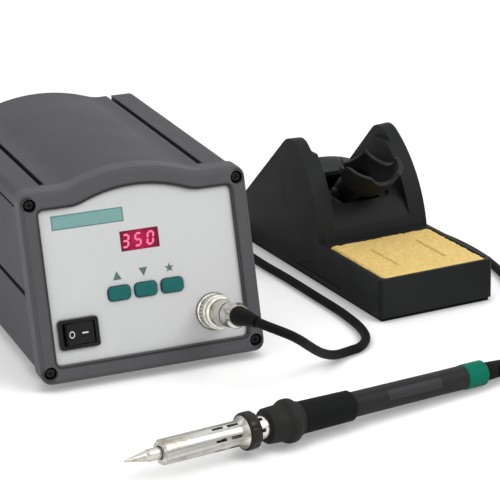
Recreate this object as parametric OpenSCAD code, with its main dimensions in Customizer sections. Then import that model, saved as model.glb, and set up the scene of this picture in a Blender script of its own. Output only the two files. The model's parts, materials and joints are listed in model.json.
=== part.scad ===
// Soldering iron station: a control unit with a leaning front panel, a stand with
// a tilting iron receptacle and a sponge, and a corded handpiece lying in front.
// Millimetres, +Z up, +Y towards the back of the control unit. The origin is on the
// bench, below the middle of the box that holds the three pieces without their cord.

/* [Control unit case] */
// Width of the case
case_w = 119; // [110:1:135]
// Height of the case shoulders above the bench
case_h = 97; // [90:1:112]
// Depth of the unit from the foot of the face to the back of the rear panel
case_d = 200; // [190:1:240]
// Wall of the two case halves
case_wall = 2.4; // [2:0.1:3]
// Radius of the four long edges of the case
case_r = 4; // [3.5:0.5:6]
// Height of the bottom of the case above the bench
case_low = 5.5; // [4.5:0.5:8]
// Rise of the arched roof above the shoulders
arch_rise = 6.5; // [4:0.5:8]
// Width of the flat shoulder on each side of the arch
shoulder_w = 21.5; // [20.5:0.5:24]
// Radius of the hollow curve at each foot of the arch
arch_foot_r = 25; // [10:1:30]
// Height of the seam between the two case halves
seam_z = 44.4; // [40:0.2:52]
// Width of the long grooves in the roof and the sides
groove_w = 3; // [2:0.5:4]
// Depth of the long grooves
groove_depth = 3; // [2:0.5:3.5]
// Distance of each roof groove from the side of the case
groove_inset = 16.1; // [13.5:0.1:17.5]
// Distance from the bezel to the front end of the grooves
groove_gap = 7; // [4:1:12]
// Height of the bead line below the shoulder
bead_drop = 8.5; // [7:0.5:12]
// Thickness of the rear panel
rear_t = 2; // [1.5:0.5:3]

/* [Front face] */
// Backward lean of the face, in degrees
face_lean = 15; // [10:1:18]
// Depth of the bezel from front to back
bezel_d = 12.4; // [10:0.2:16]
// How far the bezel stands proud of the case all round
bezel_proud = 1.6; // [1:0.1:2]
// Rounding of the bezel's front edge
bezel_round = 2.8; // [1:0.1:3.2]
// Width of the bezel at its sides
bezel_side = 7.2; // [6.9:0.1:8.5]
// Height of the bezel below the panel
bezel_bottom = 7.1; // [6.5:0.1:8.5]
// Height of the bezel above the panel's flat top
bezel_top = 7; // [6.4:0.1:8]
// Recess of the panel behind the face
panel_recess = 2; // [1.5:0.1:3]
// Thickness of the panel
panel_t = 2; // [1.5:0.1:2.5]
// Distance of the four bezel screws from the sides of the case
screw_side = 3.5; // [3.3:0.1:3.9]
// Height of the lower bezel screws above the bottom of the case
screw_rise = 4.5; // [3.9:0.1:4.7]
// Distance of the upper bezel screws below the shoulders
screw_drop = 3.9; // [3.6:0.1:4.2]

/* [Display and buttons] */
// Width of the display window
window_w = 20.6; // [18:0.2:24]
// Height of the display window
window_h = 10.2; // [9:0.2:12]
// Centre of the window up the face
window_v = 71.8; // [69:0.2:73]
// Width of a button cap
button_w = 12; // [11:0.2:13]
// Height of a button cap
button_h = 7.2; // [7:0.2:9.4]
// Spacing of the three buttons
button_pitch = 14.4; // [14:0.2:18]
// Centre line of the buttons up the face
button_v = 45.8; // [44:0.2:48]
// How far the caps stand proud of the panel
button_proud = 1.7; // [1.2:0.1:2.5]
// Travel of a button
button_travel = 0.8; // [0.4:0.1:0.8]

/* [Power switch] */
// Width of the switch frame
switch_w = 21; // [20:0.5:23]
// Height of the switch frame
switch_h = 15; // [14:0.5:17]
// Distance of the switch's middle from the left side of the panel opening
switch_inset = 13.8; // [13.3:0.1:16]
// Centre of the switch up the face
switch_v = 28.7; // [26:0.2:30]
// Tilt of the rocker to each side, in degrees
rocker_tilt = 12; // [6:1:13]
// Radius of the rocker about its pivot
rocker_r = 8.2; // [7.6:0.1:8.3]
// Width of the rocker along its pivot
rocker_w = 11; // [10:0.2:11.2]

/* [Handpiece socket] */
// Distance of the socket's middle from the right side of the panel opening
socket_inset = 17.1; // [16.3:0.1:20.3]
// Centre of the socket up the face
socket_v = 28.8; // [27:0.2:31]
// Radius of the socket's front flange
socket_flange_r = 9.4; // [9.2:0.1:11]
// Radius of the threaded nose
socket_nose_r = 7; // [6.6:0.1:7.2]
// Outer radius of the coupling nut
coupling_r = 9; // [8.4:0.1:9.4]
// Length of the coupling nut
coupling_l = 11.4; // [10:0.2:13]
// Radius of the plug's shell
plug_r = 6.8; // [6.4:0.1:7.2]
// Length of the plug's shell behind the nut
plug_l = 25; // [23:0.5:27]

/* [Inside the unit] */
// Width of the transformer core
core_w = 70; // [60:1:78]
// Height of the transformer core
core_h = 58; // [50:1:62]
// Stack depth of the transformer core
core_d = 40; // [34:1:44]
// Distance of the transformer's middle from the back of the unit
core_inset = 66; // [64:1:70]
// Width of the power board
power_board_w = 98; // [90:1:104]
// Depth of the power board
power_board_d = 40; // [38:1:46]
// Thickness of both circuit boards
board_t = 1.6; // [1:0.1:2]
// Width of the control board behind the panel
control_board_w = 84; // [70:1:92]
// Height of the control board
control_board_h = 44; // [42:1:48]

/* [Rear panel fittings] */
// Height of the row of rear fittings
rear_row_z = 30; // [26:1:36]
// Sideways place of the mains inlet
inlet_x = -26; // [-28:1:-24]
// Distance between the inlet's two screws
inlet_screw_pitch = 40; // [36:1:40]
// Sideways place of the fuse holder
fuse_x = 16; // [14:1:22]
// Sideways place of the earth jack
earth_x = 40; // [36:1:44]
// Radius of the earth jack's bore
earth_bore_r = 2; // [1.8:0.1:2.2]
// Depth of the earth jack's bore
earth_bore_l = 14; // [10:1:18]

/* [Stand] */
// Width of the stand
stand_w = 72; // [70:1:78]
// Depth of the stand
stand_d = 172; // [166:1:190]
// Height of the tray rim above the bench
tray_h = 24.7; // [23:0.1:28]
// Depth of the tray from front to back, with its front wall
tray_d = 66.5; // [60:0.5:67]
// Height of the tray floor above the bench
tray_floor = 11; // [9:0.5:13]
// Wall of the stand moulding
stand_wall = 2.6; // [2:0.1:2.8]
// Radius of the stand's corners seen from above
stand_r = 2.5; // [2:0.5:5]
// Thickness of each cheek's outer plate
cheek_t = 7.9; // [7.5:0.1:9]
// Thickness of the layer on the inside of each cheek
layer_t = 2.8; // [2:0.1:3.4]
// Height of the top of that layer above the bench
layer_top = 71; // [66:0.5:72]
// Inward lean of the cheeks, in degrees
cheek_lean = 3; // [2:0.5:4]
// Radius of the cheeks' curved front edge
cheek_front_r = 66; // [64:1:68]
// Radius of the cheeks' top
cheek_top_r = 12.5; // [10:0.5:14]
// Fall of the cheeks' rear edge, in degrees
cheek_fall = 40.3; // [38:0.1:42]
// Thickness of the rubber pad under the stand
pad_t = 2.2; // [1.5:0.1:3]
// Thickness of the steel bottom plate
plate_t = 2; // [1.5:0.1:2.5]
// Turn of the stand on the bench, in degrees
stand_turn = 5; // [0:0.5:8]
// Place of the stand's front left corner right of the unit's middle
stand_x = 136.3; // [134:0.1:160]
// Place of the stand's front left corner behind the foot of the face
stand_y = 21; // [18:0.5:25]

/* [Receptacle] */
// Height of the receptacle's pivot above the bench
pivot_z = 43.2; // [42.6:0.1:43.6]
// Place of the pivot behind the stand's front
pivot_y = 98.8; // [98:0.1:100]
// Distance from the pivot to the front end of the bore
pivot_back = 12.5; // [12:0.1:14]
// Slope of the receptacle's bore, in degrees
bore_slope = 42; // [40:1:45]
// Radius of the receptacle's bore
bore_r = 7.4; // [7:0.1:7.8]
// Length of the receptacle's bore
bore_l = 16; // [15:0.5:18]
// Inner radius of the receptacle's mouth
mouth_r = 15; // [14:0.5:16]
// Wall of the receptacle
receptacle_wall = 1.9; // [1.5:0.1:2.2]
// Radius of the receptacle's stub axles
stub_r = 2.2; // [1.8:0.1:2.3]

/* [Sponge] */
// Thickness of the sponge
sponge_t = 13.9; // [12:0.1:15]
// Length of each slit in the sponge
slit_l = 32; // [20:1:40]

/* [Handpiece] */
// Length of the tip's cone
cone_l = 12.3; // [10:0.1:15]
// Radius of the cone's base
cone_r = 2.6; // [2.2:0.1:3]
// Radius of the tip's shank
shank_r = 3; // [2.7:0.1:3.4]
// Start of the barrel behind the tip's point
barrel_s = 19.2; // [17:0.2:22]
// Length of the barrel
barrel_l = 48; // [44:0.5:52]
// Outer radius of the barrel
barrel_r = 6.2; // [5.8:0.1:6.3]
// Wall of the barrel
barrel_wall = 0.6; // [0.4:0.1:0.8]
// Outer radius of the barrel nut
nut_r = 9.3; // [8.6:0.05:9.4]
// Length of the barrel nut
nut_l = 9.4; // [8:0.2:10]
// Radius of the front cap
cap_r = 8.8; // [8:0.1:9]
// Radius of the flange behind the front cap
flange_r = 10.8; // [10:0.1:12]
// Radius of the soft grip
grip_r = 8; // [7.2:0.1:8.4]
// Length of the soft grip
grip_l = 31.4; // [28:0.2:40]
// Radius of the handle
handle_r = 6.2; // [6:0.1:6.6]
// Length of the handle behind the grip
handle_l = 69.7; // [60:0.1:80]
// Length of the coloured ring
ring_l = 12.9; // [10:0.1:15]
// Length of the cord relief
relief_l = 30.6; // [24:0.2:36]
// Turn of the handpiece on the bench, in degrees
hand_turn = 12; // [8:0.5:14]

/* [Cord] */
// Diameter of the handpiece cord
cord_d = 5; // [4:0.1:5.6]

/* [Hidden] */

$fn = 48;
arc_steps = 6;       // stretches in each small arc of an outline
gap = 0.3;           // space between pieces that lie loosely together
slip = 0.05;         // radial clearance of a running fit
eps = 0.01;

charcoal = "#4b4c50";
black = "#232325";
panel_grey = "#d9dbdc";
teal = "#1f9c97";
steel = "#c8cacc";
board_green = "#1f6b46";

// ---- outline of the unit ----
lean_tan = tan(face_lean);
lean_cos = cos(face_lean);
arch_half = case_w / 2 - shoulder_w;
groove_x = case_w / 2 - groove_inset;
opening_half = case_w / 2 - bezel_side;
opening_low = case_low + bezel_bottom;
opening_high = case_h - bezel_top;
screw_x = case_w / 2 - screw_side;
screw_low = case_low + screw_rise;
screw_high = case_h - screw_drop;
switch_u = switch_inset - opening_half;
socket_u = opening_half - socket_inset;
core_y = case_d - core_inset;

function arc_pts(cx, cy, r, a0, a1, n) = [for (i = [0 : n])
    [cx + r * cos(a0 + (a1 - a0) * i / n), cy + r * sin(a0 + (a1 - a0) * i / n)]];

// A rounded box with an arched top. Its arch is tangent to the flat shoulders, and grow
// moves the whole outline outwards by that much.
function arched_pts(half, low, high, r, foot, grow) =
    let (
        reach = (foot * foot + arch_rise * arch_rise) / (2 * arch_rise),
        crest_r = reach - arch_foot_r,
        turn = atan2(foot, reach - arch_rise),
        crest_y = high + arch_rise - crest_r,
        n = arc_steps,
        crest_turn = turn * (1 - 1 / (2 * n))
    )
    concat(
        arc_pts(half - r, low + r, r + grow, -90, 0, n),
        arc_pts(half - r, high - r, r + grow, 0, 90, n),
        arc_pts(foot, high + arch_foot_r, arch_foot_r - grow, -90, -90 - turn, n),
        arc_pts(0, crest_y, crest_r + grow, 90 - crest_turn, 90 + crest_turn, 2 * n),
        arc_pts(-foot, high + arch_foot_r, arch_foot_r - grow, -90 + turn, -90, n),
        arc_pts(-half + r, high - r, r + grow, 90, 180, n),
        arc_pts(-half + r, low + r, r + grow, 180, 270, n)
    );

function case_pts(grow) =
    arched_pts(case_w / 2, case_low, case_h, case_r, arch_half, grow);
function opening_pts(grow) =
    arched_pts(opening_half, opening_low, opening_high, 2.5, arch_half - 2, grow);

// A 2D profile seen from the front, run along Y from y0 to y1
module along_y(y0, y1) {
    translate([0, y1, 0]) rotate([90, 0, 0]) linear_extrude(y1 - y0) children();
}

// A 2D profile seen from the right, run along X from x0 to x1
module across_x(x0, x1) {
    translate([x0, 0, 0]) rotate([90, 0, 90]) linear_extrude(x1 - x0) children();
}

// All space between two planes that lean with the face, d0 and d1 behind it
module behind_face(d0, d1) {
    span = 200;
    across_x(-span, span)
        polygon([[d0 - span * lean_tan, -span], [d1 - span * lean_tan, -span],
            [d1 + span * lean_tan, span], [d0 + span * lean_tan, span]]);
}

// Puts a piece on the face: X to the right, Y up the face, Z out of it
module on_face(u, v, w = 0) {
    rotate([90 - face_lean, 0, 0]) translate([u, v, w]) children();
}

module rounded(w, h, r) {
    square([w - 2 * r, h], center = true);
    square([w, h - 2 * r], center = true);
    for (x = [-1, 1], y = [-1, 1])
        translate([x * (w / 2 - r), y * (h / 2 - r)]) circle(r);
}

// A round piece about the Z axis from [radius, height] points
module turned(pts) {
    rotate_extrude() polygon(pts);
}

panel_front = -panel_recess;
panel_back = panel_front - panel_t;

// ---- case ----
case_back = case_d - rear_t;
floor_z = case_low + case_wall;

module groove_cuts(y0, y1) {
    for (side = [-1, 1]) {
        translate([side * groove_x - groove_w / 2, y0, case_h - groove_depth])
            cube([groove_w, y1 - y0, groove_depth + case_h]);
        translate([side * (case_w / 2) - groove_depth, y0, seam_z - groove_w / 2])
            cube([2 * groove_depth, y1 - y0, groove_w]);
    }
}

module bead_lines(y0, y1) {
    line_w = 1.2;
    line_depth = 0.8;
    for (side = [-1, 1])
        translate([side * case_w / 2 - line_depth, y0, case_h - bead_drop - line_w / 2])
            cube([2 * line_depth, y1 - y0, line_w]);
}

screw_places = [for (x = [-screw_x, screw_x], z = [screw_low, screw_high]) [x, z]];

module case_profile() {
    difference() {
        polygon(case_pts(0));
        polygon(case_pts(-case_wall));
    }
    intersection() {
        polygon(case_pts(-eps));
        union() {
            // channels that take the long screws
            for (p = screw_places) translate(p) circle(3.4);
            // thick walls under the grooves
            for (side = [-1, 1]) {
                translate([side * groove_x - groove_w / 2 - 1.8, case_h - groove_depth - 1.8])
                    square([groove_w + 3.6, groove_depth + 2 * arch_rise]);
                translate([side * (case_w / 2 - groove_depth - 1.8) - (side > 0 ? 0 : 10),
                    seam_z - groove_w / 2 - 1.8])
                    square([10, groove_w + 3.6]);
            }
        }
    }
}

module case_ring() {
    groove_start = case_h * lean_tan + bezel_d + groove_gap;
    side_start = seam_z * lean_tan + bezel_d + groove_gap;
    difference() {
        intersection() {
            along_y(0, case_back)
                difference() {
                    case_profile();
                    for (p = screw_places) translate(p) circle(screw_bore_r);
                }
            behind_face(bezel_d, 3 * case_d);
        }
        intersection() {
            groove_cuts(side_start, 2 * case_d);
            union() {
                cube_from([-case_w, side_start, 0],
                    [case_w, 2 * case_d, case_h - 2 * groove_depth]);
                cube_from([-case_w, groove_start, case_h - 2 * groove_depth],
                    [case_w, 2 * case_d, 2 * case_h]);
            }
        }
        bead_lines(0, 2 * case_d);
    }
}

module cube_from(low, high) {
    translate(low) cube(high - low);
}

screw_bore_r = 1.3;
standoff_r = 3;
power_board_z = 14;
power_board_y = 48;
board_holes = [for (x = [-1, 1], y = [0, 1])
    [x * (power_board_w / 2 - 5), power_board_y + 5 + y * (power_board_d - 10)]];
strap_foot = 9;
strap_t = 1.2;
strap_holes = [for (x = [-1, 1])
    [x * (core_w / 2 + strap_t + strap_foot / 2), core_y]];
feet_places = [for (x = [-1, 1], y = [32, case_d - 20]) [x * (case_w / 2 - 12), y]];

module case_upper() {
    color(charcoal)
        intersection() {
            case_ring();
            cube_from([-case_w, 0, seam_z], [case_w, case_d, 2 * case_h]);
        }
}

module case_lower() {
    color(charcoal)
        difference() {
            union() {
                intersection() {
                    case_ring();
                    cube_from([-case_w, 0, 0], [case_w, case_d, seam_z]);
                }
                for (p = board_holes)
                    translate([p[0], p[1], floor_z - eps])
                        cylinder(r = standoff_r, h = power_board_z - floor_z + eps);
            }
            for (p = board_holes)
                translate([p[0], p[1], case_low + 1]) cylinder(r = screw_bore_r, h = power_board_z);
            for (p = concat(strap_holes, feet_places))
                translate([p[0], p[1], 0]) cylinder(r = screw_bore_r, h = floor_z + 1);
        }
}

// ---- bezel: a loft between outlines that grow along a quarter circle ----
bezel_steps = 5;
bezel_rings = concat(
    [for (i = [0 : bezel_steps]) let (a = 90 * i / bezel_steps)
        [bezel_round * (1 - cos(a)), bezel_proud - bezel_round * (1 - sin(a))]],
    [[bezel_d - 0.6, bezel_proud], [bezel_d, bezel_proud - 0.6]]);

module bezel_block() {
    outlines = [for (ring = bezel_rings)
        [for (p = case_pts(ring[1])) [p[0], p[1] * lean_tan + ring[0], p[1]]]];
    n = len(outlines[0]);
    last = len(bezel_rings) - 1;
    polyhedron(
        points = [for (outline = outlines) each outline],
        faces = concat(
            [[for (j = [n - 1 : -1 : 0]) j]],
            [for (i = [0 : last - 1], j = [0 : n - 1]) let (k = (j + 1) % n)
                [i * n + j, i * n + k, (i + 1) * n + k, (i + 1) * n + j]],
            [[for (j = [0 : n - 1]) last * n + j]]),
        convexity = 6);
}

screw_head_r = 3;
screw_head_t = 2;
head_seat = 3.4;     // depth of the screw heads' seats in the bezel, along the screw

catch_w = 8;         // width of the catches that hold the panel from behind
catch_l = 1.4;

module catches() {
    for (side = [-1, 1]) {
        for (v = [32, 70])
            on_face(side * (opening_half + 2), v, panel_back - 0.1 - 1.6) linear_extrude(1.6)
                square([2 * catch_l, catch_w], center = true);
        on_face(side * 26, opening_low / lean_cos - 2, panel_back - 0.1 - 1.6)
            linear_extrude(1.6) square([catch_w, 2 * catch_l], center = true);
    }
}

module front_bezel() {
    color(charcoal)
        difference() {
            union() {
                difference() {
                    bezel_block();
                    along_y(-case_d, case_d) polygon(opening_pts(0));
                    intersection() {
                        along_y(-case_d, case_d) polygon(opening_pts(2.2));
                        behind_face(panel_recess / lean_cos, 3 * case_d);
                    }
                }
                catches();
            }
            for (p = screw_places) {
                face_y = p[1] * lean_tan;
                translate([p[0], 0, p[1]]) rotate([-90, 0, 0])
                    cylinder(r = screw_bore_r + 0.4, h = case_d);
                translate([p[0], face_y + head_seat, p[1]]) rotate([90, 0, 0])
                    cylinder(r = screw_head_r + 0.4, h = case_d);
            }
        }
}

module pan_screw(length) {
    // head down at Z 0 and shank up
    difference() {
        turned([[0, -screw_head_t], [screw_head_r - 0.8, -screw_head_t],
            [screw_head_r, -screw_head_t + 0.9], [screw_head_r, 0],
            [screw_bore_r - slip, 0], [screw_bore_r - slip, length - 1],
            [0.6, length], [0, length]]);
        for (a = [0, 90])
            rotate(a) translate([-1.7, -0.3, -screw_head_t - 1]) cube([3.4, 0.6, 2]);
    }
}

module bezel_screws() {
    color(black)
        for (p = screw_places)
            translate([p[0], p[1] * lean_tan + head_seat, p[1]]) rotate([-90, 0, 0])
                pan_screw(20);
}

module rear_screws() {
    color(black) {
        for (p = screw_places)
            translate([p[0], case_d, p[1]]) rotate([90, 0, 0]) pan_screw(12);
        for (side = [-1, 1])
            translate([inlet_x + side * inlet_screw_pitch / 2, case_d + inlet_flange_t, rear_row_z])
                rotate([90, 0, 0]) pan_screw(10);
    }
}

// ---- panel and what sits on it ----
socket_hole_r = 8.1;

module front_panel() {
    window_clear = 0.1;
    button_clear = 0.25;
    color(panel_grey)
        difference() {
            intersection() {
                along_y(-case_d, case_d) polygon(opening_pts(2));
                behind_face(panel_recess / lean_cos, (panel_recess + panel_t) / lean_cos);
            }
            on_face(0, window_v, panel_back - 1) linear_extrude(panel_t + 2)
                square([window_w + 2 * window_clear, window_h + 2 * window_clear], center = true);
            for (i = [-1 : 1])
                on_face(i * button_pitch, button_v, panel_back - 1) linear_extrude(panel_t + 2)
                    rounded(button_w + 2 * button_clear, button_h + 2 * button_clear, 2.4);
            on_face(switch_u, switch_v, panel_back - 1) linear_extrude(panel_t + 2)
                square([switch_w - 1.8, switch_h - 1.8], center = true);
            on_face(socket_u, socket_v, panel_back - 1)
                cylinder(r = socket_hole_r, h = panel_t + 2);
        }
}

module display_window() {
    color([0.7, 0.03, 0.2, 0.85])
        on_face(0, window_v, panel_back) linear_extrude(panel_t + 0.1)
            rounded(window_w, window_h, 0.6);
}

board_gap = 7.7;     // from the back of the panel to the control board
board_front = panel_back - board_gap;
control_board_v = 62.5;

module display_module() {
    module_h = 14;
    color("#e8e8e8")
        on_face(0, window_v, board_front)
            linear_extrude(board_gap) square([window_w + 2, module_h], center = true);
}

module control_board() {
    color(board_green)
        difference() {
            on_face(0, control_board_v, board_front - board_t)
                linear_extrude(board_t)
                    square([control_board_w, control_board_h], center = true);
            board_posts(screw_bore_r, board_front - board_t - 1, board_t + 2);
        }
}

module board_posts(r, w, h) {
    for (x = [-1, 1], y = [-1, 1])
        on_face(x * (control_board_w / 2 - 4), control_board_v + y * (control_board_h / 2 - 4), w)
            cylinder(r = r, h = h);
}

module board_standoffs() {
    color("#c9a648")
        difference() {
            board_posts(2.4, board_front, board_gap, $fn = 6);
            board_posts(screw_bore_r, board_front - 1, board_gap - 1);
        }
}

tact_h = 3.3;
tact_gap = button_travel + 0.1;

module tact_switches() {
    color("#303234")
        for (i = [-1 : 1])
            on_face(i * button_pitch, button_v, board_front) linear_extrude(tact_h)
                square(6, center = true);
}

module button(i) {
    flange_t = 1.1;
    crown = 0.7;
    stem_w = board_front + tact_h + tact_gap;
    color(teal)
        on_face(i * button_pitch, button_v) {
            translate([0, 0, panel_back - 0.1 - flange_t])
                linear_extrude(flange_t) rounded(button_w + 1.6, button_h + 3.2, 2.6);
            translate([0, 0, panel_back - 0.2])
                linear_extrude(panel_t + button_proud + 0.2 - crown)
                    rounded(button_w, button_h, 2.2);
            hull() {
                translate([0, 0, panel_front + button_proud - crown - 0.1]) linear_extrude(0.1)
                    rounded(button_w, button_h, 2.2);
                translate([0, 0, panel_front + button_proud - 0.1]) linear_extrude(0.1)
                    rounded(button_w - 1.4, button_h - 1.4, 1.6);
            }
            translate([0, 0, stem_w]) cylinder(r = 1.6, h = panel_back - 1 - stem_w);
        }
}

module button_up() { button(-1); }
module button_down() { button(0); }
module button_set() { button(1); }

// ---- power switch ----
rocker_w0 = -2.6;    // depth of the rocker's pivot behind the face
rocker_pin_r = 1.2;
switch_depth = 17;

module switch_housing() {
    color(black)
        on_face(switch_u, switch_v)
            difference() {
                union() {
                    translate([0, 0, panel_front]) linear_extrude(panel_recess)
                        rounded(switch_w, switch_h, 1.2);
                    translate([0, 0, -switch_depth]) linear_extrude(switch_depth + panel_front)
                        square([switch_w - 2, switch_h - 2], center = true);
                }
                translate([0, 0, -switch_depth + 5]) linear_extrude(switch_depth)
                    square([2 * rocker_r + 0.8, rocker_w + 0.6], center = true);
                translate([0, 0, rocker_w0]) rotate([90, 0, 0])
                    cylinder(r = rocker_pin_r + slip, h = switch_h - 2 + 2 * eps, center = true);
            }
}

module switch_terminals() {
    color(steel)
        for (x = [-6, 0, 6])
            on_face(switch_u + x, switch_v, -switch_depth - 7) linear_extrude(7)
                square([0.8, 4.8], center = true);
}

module power_rocker() {
    valley = -0.5;
    half = rocker_r + 1;
    rise = half * tan(rocker_tilt);
    keel = -6;
    color(black)
        on_face(switch_u, switch_v, rocker_w0)
            rotate([0, rocker_tilt, 0]) rotate([90, 0, 0]) {
                linear_extrude(rocker_w, center = true)
                    intersection() {
                        circle(rocker_r);
                        polygon([[-half, valley - rocker_w0 + rise], [0, valley - rocker_w0],
                            [half, valley - rocker_w0 + rise], [half * 0.6, keel],
                            [-half * 0.6, keel]]);
                    }
                cylinder(r = rocker_pin_r, h = switch_h - 2.2, center = true);
            }
}

// ---- socket, plug and coupling nut ----
nose_l = 9;
nose_bore_r = 5.6;
nut_start = 0.3;
plug_neck_r = 5.9;
nut_end = nut_start + coupling_l;
plug_start = nut_end + gap;
plug_end = plug_start + plug_l;

module socket_shell() {
    tail = -18;
    color(steel)
        on_face(socket_u, socket_v)
            difference() {
                turned([[0, tail], [socket_hole_r - 0.2, tail], [socket_hole_r - 0.2, panel_front],
                    [socket_flange_r, panel_front], [socket_flange_r, -0.6],
                    [socket_flange_r - 0.6, 0], [socket_nose_r, 0], [socket_nose_r, nose_l - 0.4],
                    [socket_nose_r - 0.4, nose_l], [0, nose_l]]);
                translate([0, 0, -1]) cylinder(r = nose_bore_r, h = nose_l + 2);
            }
}

module socket_locknut() {
    color(steel)
        on_face(socket_u, socket_v, panel_back - 3)
            difference() {
                cylinder(r = 10.2, h = 3, $fn = 6);
                translate([0, 0, -1]) cylinder(r = socket_hole_r - 0.2 + slip, h = 5);
            }
}

module socket_pins() {
    color("#d8b65a")
        on_face(socket_u, socket_v)
            for (a = [0 : 72 : 359]) rotate(a + 18) translate([2.9, 0, 0]) {
                translate([0, 0, -1]) cylinder(r = 0.7, h = 6.5);
                translate([0, 0, -22]) cylinder(r = 0.9, h = 4);
            }
}

module coupling_nut() {
    grips = 28;
    wall_start = nut_end - 2;
    color(steel)
        on_face(socket_u, socket_v)
            difference() {
                turned([[socket_nose_r + 0.08, nut_start], [coupling_r - 0.5, nut_start],
                    [coupling_r, nut_start + 0.5], [coupling_r, nut_start + 7],
                    [coupling_r - 0.6, nut_start + 7.5], [coupling_r - 0.6, nut_end - 0.8],
                    [coupling_r - 1.4, nut_end], [plug_neck_r + 0.08, nut_end],
                    [plug_neck_r + 0.08, wall_start], [socket_nose_r + 0.08, wall_start]]);
                for (i = [0 : grips - 1])
                    rotate(360 * i / grips) translate([coupling_r + 0.25, 0, nut_start + 0.8])
                        cylinder(r = 0.6, h = 6, $fn = 16);
            }
}

module plug_shell() {
    front = 2;
    color(steel)
        on_face(socket_u, socket_v)
            turned([[4.6, front], [nose_bore_r - 0.1, front], [nose_bore_r - 0.1, nose_l + 0.4],
                [plug_neck_r, nose_l + 0.4], [plug_neck_r, plug_start], [plug_r, plug_start],
                [plug_r, plug_start + 0.5 * plug_l], [plug_r - 0.6, plug_start + 0.5 * plug_l],
                [plug_r - 0.6, plug_start + 0.5 * plug_l + 1.4],
                [plug_r - 0.1, plug_start + 0.5 * plug_l + 1.4],
                [plug_r - 0.1, plug_end - 4], [plug_r - 1.2, plug_end], [0, plug_end],
                [0, plug_start], [4.6, plug_start - 2]]);
}

// ---- inside the unit ----
limb_w = core_w * 0.34;
window_gap_w = core_w * 0.165;
yoke = core_w * 0.165;
winding_out = 11;

module core_windows(extra) {
    for (side = [-1, 1])
        translate([side * (limb_w + window_gap_w) / 2, floor_z + core_h / 2])
            square([window_gap_w - extra, core_h - 2 * yoke - extra], center = true);
}

module transformer_core() {
    color("#6d6a66")
        along_y(core_y - core_d / 2, core_y + core_d / 2)
            difference() {
                translate([-core_w / 2, floor_z]) square([core_w, core_h]);
                core_windows(0);
            }
}

module transformer_winding() {
    coil_h = core_h - 2 * yoke - gap;
    coil_w = limb_w + 2 * window_gap_w - gap;
    color("#d9b23c")
        translate([0, core_y, floor_z + yoke + gap / 2])
            linear_extrude(coil_h)
                difference() {
                    rounded(coil_w, core_d + 2 * winding_out, 5);
                    square([limb_w + gap, core_d + gap], center = true);
                }
}

module transformer_strap() {
    strap_w = 16;
    top = floor_z + core_h;
    side = core_w / 2;
    color(steel)
        difference() {
            along_y(core_y - strap_w / 2, core_y + strap_w / 2)
                difference() {
                    union() {
                        translate([-side - strap_t, floor_z])
                            square([core_w + 2 * strap_t, core_h + strap_t]);
                        translate([-side - strap_t - strap_foot, floor_z])
                            square([core_w + 2 * (strap_t + strap_foot), strap_t]);
                    }
                    translate([-side, floor_z - 1]) square([core_w, core_h + 1]);
                }
            for (p = strap_holes)
                translate([p[0], p[1], floor_z - 1]) cylinder(r = screw_bore_r + 0.3, h = 4);
        }
}

module inner_screws() {
    color(steel) {
        for (p = board_holes)
            translate([p[0], p[1], power_board_z + board_t]) rotate([180, 0, 0]) pan_screw(7);
        for (p = strap_holes)
            translate([p[0], p[1], floor_z + strap_t]) rotate([180, 0, 0]) pan_screw(3);
    }
}

module power_board() {
    color(board_green)
        difference() {
            translate([-power_board_w / 2, power_board_y, power_board_z])
                cube([power_board_w, power_board_d, board_t]);
            for (p = board_holes)
                translate([p[0], p[1], power_board_z - 1]) cylinder(r = screw_bore_r, h = 4);
        }
}

module board_parts() {
    margin = 3;
    capacitor_r = 9;
    capacitor_h = 26;
    capacitor_x = -30;
    bridge = [17, 13, 15];
    choke = [8, 22, 12];
    choke_x = 16;
    relay = [15, 6, 11];
    relay_x = [-30, -3];
    color("#26272b")
        translate([0, power_board_y + margin, power_board_z + board_t]) {
            translate([capacitor_x, capacitor_r + margin])
                cylinder(r = capacitor_r, h = capacitor_h);
            translate([-bridge[0] / 2, capacitor_r]) cube(bridge);
            translate([choke_x, capacitor_r]) cube(choke);
            for (x = relay_x)
                translate([x, power_board_d - relay[1] - 3 * margin]) cube(relay);
        }
}

module heat_sink() {
    fins = 7;
    pitch = 4.5;
    fin_t = 1.4;
    fin_l = 12;
    base_t = 3;
    sink_h = 28;
    sink_x = 28;
    color("#9a9c9f")
        translate([sink_x, power_board_y + pitch, power_board_z + board_t])
            linear_extrude(sink_h) {
                square([base_t, fins * pitch + fin_t - pitch]);
                for (i = [0 : fins - 1]) translate([0, i * pitch]) square([fin_l, fin_t]);
            }
}

// ---- rear panel and its fittings ----
inlet_flange_t = 2.5;
inlet_body_w = 27;
inlet_body_h = 20;
inlet_recess = 16.5;
fuse_body_r = 6.3;
fuse_bore_r = 4.1;
fuse_flange_r = 8;
fuse_flange_t = 2.4;
fuse_knob_l = 9.6;

module on_rear(x, w = 0) {
    translate([x, case_d, rear_row_z]) rotate([-90, 0, 0]) translate([0, 0, w]) children();
}

module rear_panel() {
    color(charcoal)
        difference() {
            along_y(case_back, case_d) polygon(case_pts(0));
            groove_cuts(0, 2 * case_d);
            for (p = screw_places)
                translate([p[0], case_back - 1, p[1]]) rotate([-90, 0, 0])
                    cylinder(r = screw_bore_r + 0.3, h = rear_t + 2);
            for (side = [-1, 1])
                on_rear(inlet_x + side * inlet_screw_pitch / 2, -rear_t - 1)
                    cylinder(r = screw_bore_r + 0.1, h = rear_t + 2);
            on_rear(inlet_x, -rear_t - 1) linear_extrude(rear_t + 2)
                square([inlet_body_w + 0.4, inlet_body_h + 0.4], center = true);
            on_rear(fuse_x, -rear_t - 1) cylinder(r = fuse_body_r + 0.1, h = rear_t + 2);
            on_rear(earth_x, -rear_t - 1) cylinder(r = earth_body_r + 0.1, h = rear_t + 2);
        }
}

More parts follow.
